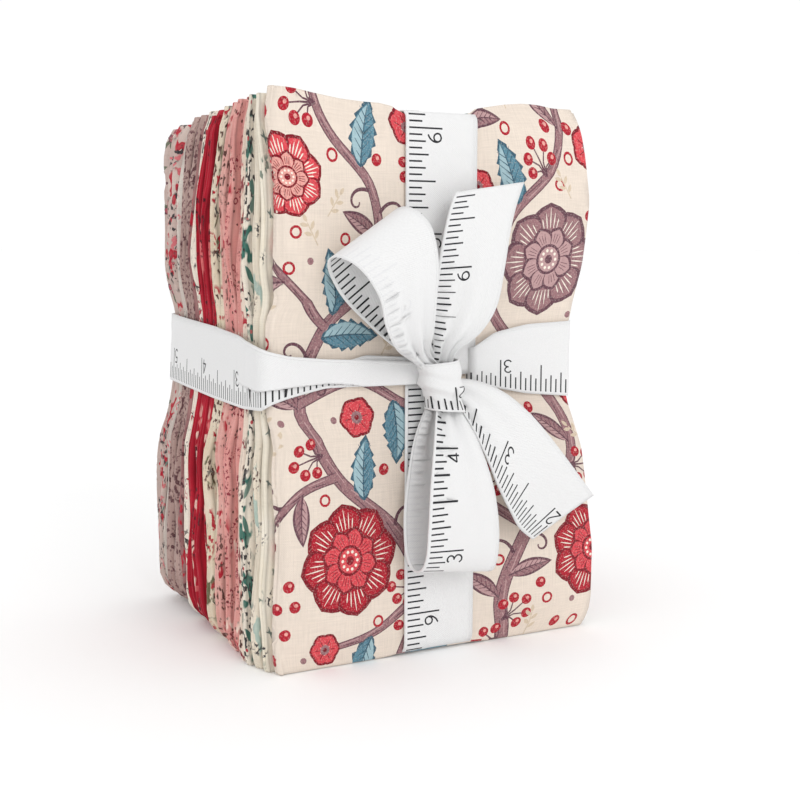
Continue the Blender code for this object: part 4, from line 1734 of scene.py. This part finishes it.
# The level tape: side of the stack, place on it, the tape's lower and upper edge there, and how far
# further left than its solid it lies.
AROUND = (
    ("front", -9.6, 69.6, 75.4, 0.0),
    ("front", -20.0, 69.6, 76.0, 0.0),
    ("front", -31.0, 69.6, 76.6, 0.0),
    ("front", -40.5, 67.6, 77.6, 0.0),
    ("front", -45.2, 66.2, 78.8, 0.0),
    ("left", 1.0, 64.8, 79.8, 0.0),
    ("left", 14.0, 63.8, 81.2, 0.0),
    ("left", 36.0, 64.0, 82.6, 0.6),
    ("left", 60.0, 64.8, 83.4, 1.4),
    ("left", 76.1, 65.2, 84.0, 1.5),
    ("back", -42.9, 65.2, 84.0, 1.5),
    ("back", -10.0, 64.6, 84.0, 0.0),
    ("back", 12.0, 64.2, 84.0, 0.0),
    ("back", 39.9, 64.0, 84.0, 0.0),
    ("right", 76.6, 64.0, 84.0, 0.0),
    ("right", 40.0, 64.0, 84.0, 0.0),
    ("right", 0.0, 64.0, 84.0, 0.0),
    ("front", 39.6, 64.0, 83.9, 0.0),
    ("front", 26.0, 65.4, 83.4, 0.0),
    ("front", 16.0, 67.4, 81.6, 0.0),
    ("front", 8.6, 69.4, 78.0, 0.0),
    ("front", 2.6, 70.6, 75.0, 0.0),
)

# The level tape's pleat: places along it, and how much of the printed strip shows there.
PLEAT = ((16.0, 22.0, 33.0, 42.0, 60.0), (0.0, 0.9, 2.8, 4.5, PRINTED))

# The upright tape: side of the stack and places on it.
OVER = (
    ("front", (71.0, 92.0, 110.0, 125.0, 134.6)),
    ("top", (0.4, 3.4, 8.0, 30.0, 55.0, 75.4)),
    ("back", (132.6, 128.0, 115.0, 98.0, 85.0, 63.0, 50.0, 22.0, 8.0, 2.6)),
    ("bottom", (80.8, 55.0, 30.0, 0.6)),
    ("front", (2.6, 8.0, 22.0, 42.0, 70.0)),
)


@dataclass
class Tie:
    """The tape round the bundle and its bow."""

    seat: Seat
    material: bpy.types.Material
    near: float = 0.85  # how deep in its solid the tape lies, from the solid's outer face
    under: float = 0.24  # the same under the bundle, where it lies on the surface

    def wrap_point(self, gauge: Gauge, side: str, across: float, up: float) -> np.ndarray:
        """A point of the tape on one side of the stack.

        Args:
            gauge: feels along the tape's solid.
            side: the side's name.
            across: the place across that side, or from front to back.
            up: the height, or the place from side to side on the top and bottom.

        Returns:
            x, y, z.
        """
        ways = {
            "front": ((across, -200.0, up), (0, 1, 0)),
            "back": ((across, 250.0, up), (0, -1, 0)),
            "left": ((-200.0, across, up), (1, 0, 0)),
            "right": ((200.0, across, up), (-1, 0, 0)),
            "top": ((up, across, 300.0), (0, 0, -1)),
            "bottom": ((up, across, -100.0), (0, 0, 1)),
        }
        start, way = ways[side]
        hit = gauge.feel(start, way)
        if hit is None:
            raise ValueError(f"the tape's solid isn't met on its {side} at {across}, {up}")
        depth = self.under if side == "bottom" else self.near
        return hit + np.array(way) * depth * SOLID_TAPE

    def even(self, rows: np.ndarray, sigma: float) -> np.ndarray:
        """Rounds the corners of a path a little.

        Args:
            rows: edge points along the tape.
            sigma: how far the rounding reaches.

        Returns:
            Finer rows.
        """
        runs = distances((rows[:, :3] + rows[:, 3:]) / 2)
        fine = np.arange(0.0, runs[-1], 0.5)
        lines = np.array([np.interp(fine, runs, rows[:, k]) for k in range(6)])
        return smooth(lines, 0.5, sigma).T

    def level(self) -> None:
        """Lays the level tape, with a soft trough along it and its pleat at the front's left."""
        gauge = Gauge("ribbon_around", self.seat)
        rows = []
        for side, place, low, high, out in AROUND:
            middle = (low + high) / 2
            one = self.wrap_point(gauge, side, place, middle + (low - middle) * 0.8) - (out, 0, 0)
            two = self.wrap_point(gauge, side, place, middle + (high - middle) * 0.8) - (out, 0, 0)
            grow = (two - one) * 0.125
            rows.append((*(one - grow), *(two + grow)))
        rows.insert(0, tuple(np.array(rows[0]) + (5.2, -0.5, 0.2, 5.2, -0.5, -0.4)))
        TapePiece(
            "tape_around", "ribbon_around", self.even(np.array(rows), 0.8), self.seat, self.material,
            Scale(zero=62.0, first=3, mute=50.0, join=176.0, late=7), from_mark=14.0,
            crease=lambda run, w: -0.25 * np.exp(-(((w - 13.0) / 1.2) ** 2)) * ramp(run, 60.0, 90.0),
            pleat=lambda run: np.interp(run, *PLEAT),
        ).make()

    def upright(self) -> None:
        """Lays the upright tape."""
        gauge = Gauge("ribbon_over", self.seat)
        rows = []
        half = TAPE_WIDE / 2 - 0.6
        for side, place in ((side, place) for side, places in OVER for place in places):
            flat = side in ("top", "bottom")
            ends = []
            for x in (TAPE_X - half, TAPE_X + half):
                ends.append(self.wrap_point(gauge, side, *((place, x) if flat else (x, place))))
            grow = (ends[1] - ends[0]) * 0.03
            rows.append((*(ends[0] - grow), *(ends[1] + grow)))
        TapePiece(
            "tape_over", "ribbon_over", self.even(np.array(rows), 0.8), self.seat, self.material,
            Scale(zero=9.5, first=4), step=1.5, across=8,
        ).make()

    def bow(self) -> None:
        """Lays the two loops and the two free ends."""
        table = (
            ("bow_loop_upper", UPPER_LOOP, Scale(zero=47.6, first=2, inward=True), 1.0, 0.0),
            ("bow_loop_lower", LOWER_LOOP, Scale(zero=41.0, first=3, inward=True), 0.9, 0.0),
            ("bow_tail_upper", UPPER_TAIL, Scale(zero=24.9, first=6), 0.9, 0.2),
            ("bow_tail_lower", LOWER_TAIL, Scale(zero=47.0, first=2, flip=True), 0.9, 0.2),
        )
        for node, rows, scale, pleats, cup in table:
            TapePiece(
                f"{node}_tape", node, through(rows, 12), self.seat, self.material, scale,
                pleats=pleats, cup=cup, step=0.9, across=14,
            ).make()

    def knot(self) -> None:
        """Lays the knot: a turn of tape drawn tight round the bow's middle, its printed edge below."""
        turns = []
        for turn in np.linspace(0.62 * pi, 2.58 * pi, 60):
            aside, ahead = cos(turn), sin(turn)
            out = (np.sign(aside) * abs(aside) ** 0.8, np.sign(ahead) * abs(ahead) ** 0.8)
            low = (-1.4 + 3.8 * out[0], -6.2 + 3.9 * out[1], 63.4 - 0.6 * aside)
            high = (-3.5 + 5.3 * out[0], -6.4 + 4.2 * out[1], 75.4 + 0.5 * aside)
            turns.append((*low, *high))
        TapePiece(
            "bow_knot_tape", "bow_knot", np.array(turns), self.seat, self.material,
            Scale(zero=13.2, first=2, inward=True), step=0.6, across=22, crease=self.drawn,
        ).make()

    @staticmethod
    def drawn(run: np.ndarray, w: np.ndarray) -> np.ndarray:
        """The knot's folds, its waist and its turned-in edges.

        Args:
            run: distance along the tape.
            w: distance across it.

        Returns:
            How far the tape lies inside its path.
        """
        share = w / TAPE_WIDE
        edges = 0.3 * ramp(share, 0.8, 1.0) - 0.9 * ramp(-share, -0.14, 0.0)
        bend = 0.5 + 0.09 * np.sin(run / 3.1)
        folds = -0.5 * np.sin(pi * share) ** 2
        for place, depth, wide in ((0.2, 0.42, 0.07), (0.0, -0.5, 0.06), (-0.16, 0.3, 0.06)):
            folds = folds + depth * np.exp(-(((share - bend - place) / wide) ** 2))
        return edges + folds


BLUE_LEAF = (Ink.SLATE, Ink.BLUE, Ink.PALE_BLUE, Ink.SLATE)
MAUVE_LEAF = (Ink.PLUM, Ink.MAUVE, Ink.LILAC, Ink.PLUM)
VINES = (
    [(34, -4, 3.2), (40, 16, 3.2), (33, 33, 3.0), (15, 48, 2.8), (6, 66, 2.7), (13, 84, 2.7),
     (27, 97, 2.4), (26, 116, 2.1), (14, 129, 1.8), (8, 141, 1.5)],
    [(66, -4, 3.4), (62, 12, 3.2), (70, 30, 3.2), (84, 44, 2.9), (86, 60, 2.7), (74, 76, 2.7),
     (62, 90, 2.5), (65, 110, 2.2), (79, 124, 1.9), (86, 141, 1.6)],
    [(6, 66, 2.0), (22, 71, 2.0), (38, 64, 1.6), (52, 67, 1.2)],
    [(27, 97, 2.0), (38, 106, 1.9), (43, 122, 1.6), (52, 135, 1.2)],
    [(70, 30, 2.2), (57, 40, 1.9), (50, 53, 1.5), (42, 58, 1.1)],
    [(13, 84, 1.9), (4, 92, 1.6), (-7, 104, 1.2)],
    [(15, 48, 2.0), (4, 44, 1.6), (-7, 32, 1.2)],
    [(40, 16, 2.1), (28, 8, 1.7), (14, 5, 1.2)],
    [(62, 90, 1.9), (50, 94, 1.6), (40, 88, 1.2)],
)


@dataclass
class Garden:
    """The front fabric's print: large and small flowers on winding stems with leaves and berries."""

    art: Print = field(default_factory=Print)
    taken: list = field(default_factory=list)

    def free(self, x: float, y: float, radius: float) -> bool:
        """Whether nothing has been planted yet on a round patch."""
        return all(hypot(x - a, y - b) > radius + r for a, b, r in self.taken)

    def grow(self, path: np.ndarray, lot: int) -> None:
        """Sets leaves, berries and tendrils along a stem, to the left and right in turn.

        Args:
            path: the stem's points with its widths.
            lot: where in the round of kinds it begins.
        """
        runs = distances(path[:, :2])
        for k, run in enumerate(np.arange(4.0, runs[-1], 6.0)):
            x, y = (float(np.interp(run, runs, path[:, axis])) for axis in (0, 1))
            dx, dy = (float(np.interp(run + 1, runs, path[:, axis])) - at for axis, at in ((0, x), (1, y)))
            side = 1 if (k + lot) % 2 else -1
            kind = (k // 2 + lot) % 4
            angle = degrees(atan2(dy, dx)) + side * (48 if kind != 1 else 70)
            size = (17.0, 7.5, 13.5, 14.0)[kind]
            spot = off((x, y), angle, (0.62, 0.9, 0.62, 0.5)[kind] * size)
            if not self.free(*spot, size * (0.24 if kind != 1 else 0.36)):
                continue
            self.taken.append((*spot, size * (0.3 if kind != 1 else 0.45)))
            if kind == 1:
                self.art.spray((x, y), angle, size)
            elif kind == 3:
                self.art.tendril((x, y), angle, 0.95, side)
            else:
                inks, wide, teeth = (MAUVE_LEAF, 0.34, 0) if kind else (BLUE_LEAF, 0.5, 6)
                self.art.leaf((x, y), angle, size, inks, wide, 18.0 * side, teeth)

    def fill(self) -> None:
        """Strews small things over what is still bare."""
        chance = np.random.default_rng(21)
        for row in range(22):
            for column in range(16):
                x = -9.0 + 6.8 * column + 3.4 * (row % 2) + chance.uniform(-1.2, 1.2)
                y = 3.0 + 6.4 * row + chance.uniform(-1.2, 1.2)
                kind = chance.integers(0, 5)
                if not self.free(x, y, 3.0 if kind < 2 else 2.0):
                    continue
                self.taken.append((x, y, 2.8 if kind < 2 else 1.6))
                if kind < 2:
                    self.art.sprig(x - 2.0, y - 2.0, chance.uniform(20, 160), 6.0)
                elif kind == 2:
                    self.art.disc(x, y, 1.6, Ink.CRIMSON)
                    self.art.disc(x, y, 0.992, Ink.GROUND, 12)
                elif kind == 3:
                    self.art.berry(x, y, 1.5)
                else:
                    self.art.disc(x, y, 0.9, Ink.MAUVE, 10)

    def plant(self) -> Print:
        """Draws the whole print.

        Returns:
            The print, across from the fold and up from the lower edge.
        """
        red = (Ink.DEEP, Ink.CRIMSON, Ink.CORAL, Ink.CREAM)
        grands = (
            (19, 27, 14.5, red, 10.0), (78, 100, 14.5, (Ink.PLUM, Ink.MAUVE, Ink.LILAC, Ink.CREAM), 4.0),
            (90, 22, 13.5, red, 24.0), (46, 86, 12.0, (Ink.DEEP, Ink.CRIMSON, Ink.BLUSH, Ink.CREAM), 0.0),
            (2, 119, 9.5, (Ink.DEEP, Ink.CORAL, Ink.BLUSH, Ink.CREAM), 16.0),
        )
        coral = (Ink.DEEP, Ink.CORAL, Ink.MAUVE)
        small = (
            (22, 62, 5.2, 10), (-7, 104, 4.4, 40), (36, 133, 5.2, 0), (52, 24, 4.8, 20), (56, 118, 4.8, 50),
            (92, 66, 5.2, 5), (91, 128, 5.4, 30), (-7, 31, 4.4, 15), (12, 5, 4.6, 0), (40, 87, 4.6, 20),
        )
        self.taken += [(x, y, radius * 0.92) for x, y, radius, _, _ in grands]
        self.taken += [(x, y, radius * 0.9) for x, y, radius, _ in small]
        stems = [self.art.vine(knots) for knots in VINES]
        self.taken += [(x, y, wide / 2) for stem in stems for x, y, wide in stem[::3]]
        for lot, stem in enumerate(stems):
            self.grow(stem, lot)
        self.fill()
        for x, y, radius, inks, spin in grands:
            self.art.grand(x, y, radius, inks, spin)
        for x, y, radius, spin in small:
            self.art.blossom(x, y, radius, 6, coral, spin)
        return self.art


def rosebuds(bend: float) -> Print:
    """The rear fabric's print: small flowers in rows, each row half a step along.

    Args:
        bend: distance round the fold.

    Returns:
        The print.
    """
    art = Print(steps=6)
    inks = (Ink.PLUM, Ink.ROSE, Ink.CREAM)
    for row in range(13):
        for column in range(11):
            x = -bend + 5 - 10.5 * column - (5.2 if row % 2 else 0.0)
            y = 5.0 + 10.8 * row
            turn = 40.0 * row + 75.0 * column
            for lean in (115, 150, -60):
                art.blade((x, y), turn + lean, 4.6, 1.5, Ink.OLIVE)
            art.blossom(x, y, 2.3, 5, inks, turn)
            art.disc(x + 5.2, y + 2.6, 0.55, Ink.CRIMSON, 8)
            art.disc(x + 4.0, y - 3.2, 0.4, Ink.PLUM, 8)
    return art


# The plainer cottons. Each of their marks has a form, a colour, a pitch, a size, a share, and where it
# needs them a shift and a stretch.
FLECK, DOT, RING, LEAF, SPRAY = Form
GREEN, BLACK, RED, BROWN = (58, 108, 96), (50, 46, 50), (176, 30, 50), (86, 54, 48)
OLIVE, WINE, SAGE, ROSE = (104, 104, 74), (132, 30, 50), (128, 138, 124), (206, 110, 116)
COTTONS = {
    "ivory": Cotton(
        "ivory cotton", (234, 226, 211),
        (Marks(FLECK, SAGE, 7.0, 1.0, 0.16, 0.0, 2.0), Marks(SPRAY, (96, 110, 104), 6.0, 1.1, 0.3),
         Marks(FLECK, BLACK, 5.0, 0.6, 0.12, 9.0)),
        (228, 219, 201),
    ),
    "sprigged": Cotton(
        "sprigged ivory cotton", (230, 220, 204),
        (Marks(FLECK, (168, 186, 176), 9.0, 1.8, 0.36, 41.0, 2.4),
         Marks(FLECK, BROWN, 7.0, 0.6, 0.14, 17.0, 2.0),
         Marks(FLECK, BLACK, 5.0, 0.6, 0.16, 9.0, 1.6)),
        (222, 211, 193),
    ),
    "teal": Cotton(
        "green sprigged cotton", (230, 220, 205),
        (Marks(FLECK, GREEN, 6.0, 1.9, 0.72, 7.0, 2.6),
         Marks(FLECK, BLACK, 4.6, 0.8, 0.68, 3.3, 2.0),
         Marks(LEAF, GREEN, 3.4, 1.6, 0.5, 0.0, 2.0), Marks(DOT, RED, 3.4, 0.35, 0.35, 1.0)),
    ),
    "rose_ivory": Cotton(
        "red sprigged cotton", (232, 214, 198),
        (Marks(FLECK, RED, 5.0, 1.4, 0.6, 2.0, 2.2),
         Marks(FLECK, BROWN, 4.2, 0.9, 0.62, 12.0, 2.0),
         Marks(SPRAY, WINE, 3.2, 1.2, 0.5, 2.3)),
    ),
    "pink": Cotton(
        "pink dotted cotton", (226, 166, 158),
        (Marks(DOT, BROWN, 1.7, 0.26, 0.75, 4.0), Marks(FLECK, RED, 9.0, 1.7, 0.3, 0.0, 2.4),
         Marks(FLECK, WINE, 4.0, 0.55, 0.4, 5.0), Marks(RING, WINE, 3.0, 0.6, 0.25),
         Marks(FLECK, (236, 212, 198), 8.0, 1.4, 0.3, 37.0, 2.4)),
        (216, 148, 142),
    ),
    "rose": Cotton(
        "rose cotton", (222, 158, 152),
        (Marks(FLECK, RED, 5.5, 1.8, 0.4, 6.0, 2.4),
         Marks(FLECK, BROWN, 3.4, 0.8, 0.5, 3.0), Marks(DOT, BROWN, 1.8, 0.28, 0.6, 8.0)),
        (212, 136, 132),
    ),
    "tan": Cotton(
        "tan sprigged cotton", (230, 219, 200),
        (Marks(FLECK, OLIVE, 4.6, 1.5, 0.5, 4.0, 2.2),
         Marks(FLECK, BROWN, 4.0, 0.9, 0.55, 14.0, 2.0),
         Marks(FLECK, RED, 5.5, 1.3, 0.38, 22.0), Marks(SPRAY, BLACK, 3.6, 1.1, 0.3, 8.0)),
        (221, 206, 182),
    ),
    "red": Cotton(
        "crimson cotton", (184, 26, 48),
        (Marks(FLECK, (214, 84, 92), 7.0, 0.6, 0.12, 0.0, 2.4),
         Marks(FLECK, (78, 18, 28), 6.0, 1.1, 0.2, 5.0, 2.2)),
        (164, 16, 40),
    ),
    "patterned_red": Cotton(
        "patterned red cotton", (186, 34, 54),
        (Marks(FLECK, (232, 196, 182), 8.0, 2.0, 0.42, 19.0, 2.6),
         Marks(FLECK, (222, 118, 118), 6.0, 1.4, 0.4, 8.0, 2.4),
         Marks(FLECK, (84, 24, 32), 5.0, 0.8, 0.45, 5.0, 2.0)),
        (168, 20, 42),
    ),
    "inked": Cotton(
        "black sprigged ivory cotton", (236, 227, 212),
        (Marks(FLECK, BLACK, 3.8, 0.8, 0.5, 6.0, 2.2), Marks(SPRAY, BLACK, 3.4, 1.1, 0.4),
         Marks(FLECK, RED, 6.0, 0.9, 0.25, 16.0)),
    ),
    "mauve": Cotton(
        "mauve cotton", (164, 124, 121),
        (Marks(FLECK, (84, 48, 54), 4.0, 0.9, 0.66, 9.0, 2.0),
         Marks(FLECK, RED, 6.0, 1.5, 0.55, 4.0, 2.4)),
        (146, 100, 100),
    ),
    "taupe": Cotton(
        "taupe cotton", (186, 160, 152),
        (Marks(FLECK, (116, 82, 84), 4.4, 0.6, 0.66, 2.0), Marks(DOT, (104, 72, 76), 1.4, 0.24, 0.7),
         Marks(FLECK, (92, 58, 62), 6.0, 0.9, 0.4, 44.0, 2.0)),
        (168, 140, 133),
    ),
    "blush": Cotton(
        "blush sprigged cotton", (226, 178, 168),
        (Marks(FLECK, RED, 5.0, 1.5, 0.42, 11.0, 2.2),
         Marks(FLECK, BROWN, 4.0, 0.8, 0.5, 27.0, 2.0),
         Marks(DOT, BROWN, 1.9, 0.26, 0.6, 2.0)),
        (220, 164, 156),
    ),
    "plain_grey": Cotton(
        "soft grey cotton", (214, 206, 196),
        (Marks(FLECK, BLACK, 6.0, 0.6, 0.22, 15.0, 2.0),
         Marks(FLECK, ROSE, 6.0, 0.9, 0.18, 33.0)),
        (200, 188, 180),
    ),
    "grey": Cotton(
        "warm grey cotton", (208, 190, 181),
        (Marks(FLECK, RED, 5.0, 1.5, 0.5, 3.0, 2.2),
         Marks(FLECK, BLACK, 4.2, 0.8, 0.48, 13.0, 2.0),
         Marks(FLECK, ROSE, 4.4, 1.3, 0.42, 24.0), Marks(LEAF, GREEN, 4.4, 0.9, 0.25, 6.0)),
        (190, 168, 160),
    ),
}

# Each fabric's cotton and the record's slot, front to back.
ORDER = (
    ("floral", "floral"), ("ivory", "ivory"), ("sprigged", "ivory"), ("teal", "teal"),
    ("rose_ivory", "rose_ivory"), ("pink", "pink"), ("pink", "pink"), ("rose", "rose"),
    ("blush", "rose_ivory"), ("tan", "tan"), ("tan", "tan"), ("patterned_red", "red"), ("red", "red"),
    ("patterned_red", "red"), ("red", "red"), ("inked", "ivory"), ("mauve", "mauve"), ("taupe", "mauve"),
    ("taupe", "mauve"), ("plain_grey", "grey"), ("grey", "grey"), ("rosebud", "rose_grey"),
)


@dataclass
class Bundle:
    """The whole bundle: the folded fabrics and the tie."""

    seat: Seat

    def make(self) -> None:
        """Builds every piece and reports it."""
        stack = Stack(self.seat)
        printed = {
            "floral": (Cotton("floral cotton", Ink.GROUND.value, inked=True), Ink.GROUND),
            "rosebud": (Cotton("rosebud cotton", Ink.ROSE_GREY.value, inked=True), Ink.ROSE_GREY),
        }
        for number, (kind, slot) in enumerate(ORDER):
            if kind in printed:
                cotton, ground = printed[kind]
                fabric = FoldedFabric(number, stack, cotton, slot, Print(), ground)
                fabric.pattern = Garden().plant() if kind == "floral" else rosebuds(fabric.bend)
            else:
                fabric = FoldedFabric(number, stack, COTTONS[kind], slot)
            fabric.make()
        tie = Tie(self.seat, Twill().dress())
        tie.level()
        tie.upright()
        tie.bow()
        tie.knot()


@dataclass
class Studio:
    """Floor, white world, lamp and camera."""

    eye: tuple[float, float, float] = (-0.1508, -0.3016, 0.1032)
    aim: tuple[float, float, float] = (-0.01102, -0.03426, 0.0656)
    roll: float = 0.15
    lens: float = 55.5

    def floor(self) -> None:
        """A wide pale floor."""
        verts = [(x, y, 0.0) for y in (-30.0, 30.0) for x in (-30.0, 30.0)]
        faces = [(0, 1, 3, 2)]
        mesh = bpy.data.meshes.new("floor")
        mesh.from_pydata(verts, [], faces)
        material = bpy.data.materials.new("pale floor")
        material.use_nodes = True
        shader = material.node_tree.nodes["Principled BSDF"]
        shader.inputs["Base Color"].default_value = (0.99, 0.99, 0.99, 1.0)
        shader.inputs["Roughness"].default_value = 0.7
        mesh.materials.append(material)
        obj = bpy.data.objects.new("floor", mesh)
        bpy.context.scene.collection.objects.link(obj)

    def lamp(self, name: str, place: tuple, size: float, power: float) -> None:
        """Hangs one large soft lamp that looks at the bundle.

        Args:
            name: the lamp's name.
            place: where it hangs, in metres.
            size: how wide it is, in metres.
            power: its strength in watts.
        """
        light = bpy.data.lights.new(name, "AREA")
        light.shape = "DISK"
        light.size = size
        light.energy = power
        obj = bpy.data.objects.new(name, light)
        obj.location = place
        away = Vector(place) - Vector((0.0, 0.0, 0.07))
        obj.rotation_euler = away.to_track_quat("Z", "Y").to_euler()
        bpy.context.scene.collection.objects.link(obj)

    def camera(self) -> None:
        """The camera at the photograph's angle."""
        data = bpy.data.cameras.new("camera")
        data.lens = self.lens
        data.sensor_width = 36.0
        data.clip_start = 0.01
        obj = bpy.data.objects.new("camera", data)
        away = Vector(self.eye) - Vector(self.aim)
        turn = away.to_track_quat("Z", "Y").to_matrix().to_4x4()
        obj.matrix_world = Matrix.Translation(self.eye) @ turn @ Matrix.Rotation(radians(self.roll), 4, "Z")
        bpy.context.scene.collection.objects.link(obj)
        bpy.context.scene.camera = obj

    def make(self) -> None:
        """Sets the whole studio."""
        self.floor()
        self.camera()
        self.lamp("key", (0.12, -1.25, 0.75), 0.7, 3.8)
        world = bpy.data.worlds.new("studio")
        world.use_nodes = True
        shade = world.node_tree.nodes["Background"]
        shade.inputs[0].default_value = (1.0, 1.0, 1.0, 1.0)
        shade.inputs[1].default_value = 1.02
        scene = bpy.context.scene
        scene.world = world
        scene.view_settings.view_transform = "Standard"


def main() -> None:
    """Builds the bundle in its studio."""
    logging.basicConfig(level=logging.INFO, format="%(name)s %(message)s")
    Studio().make()
    Bundle(Seat()).make()


if __name__ == "__main__":
    main()
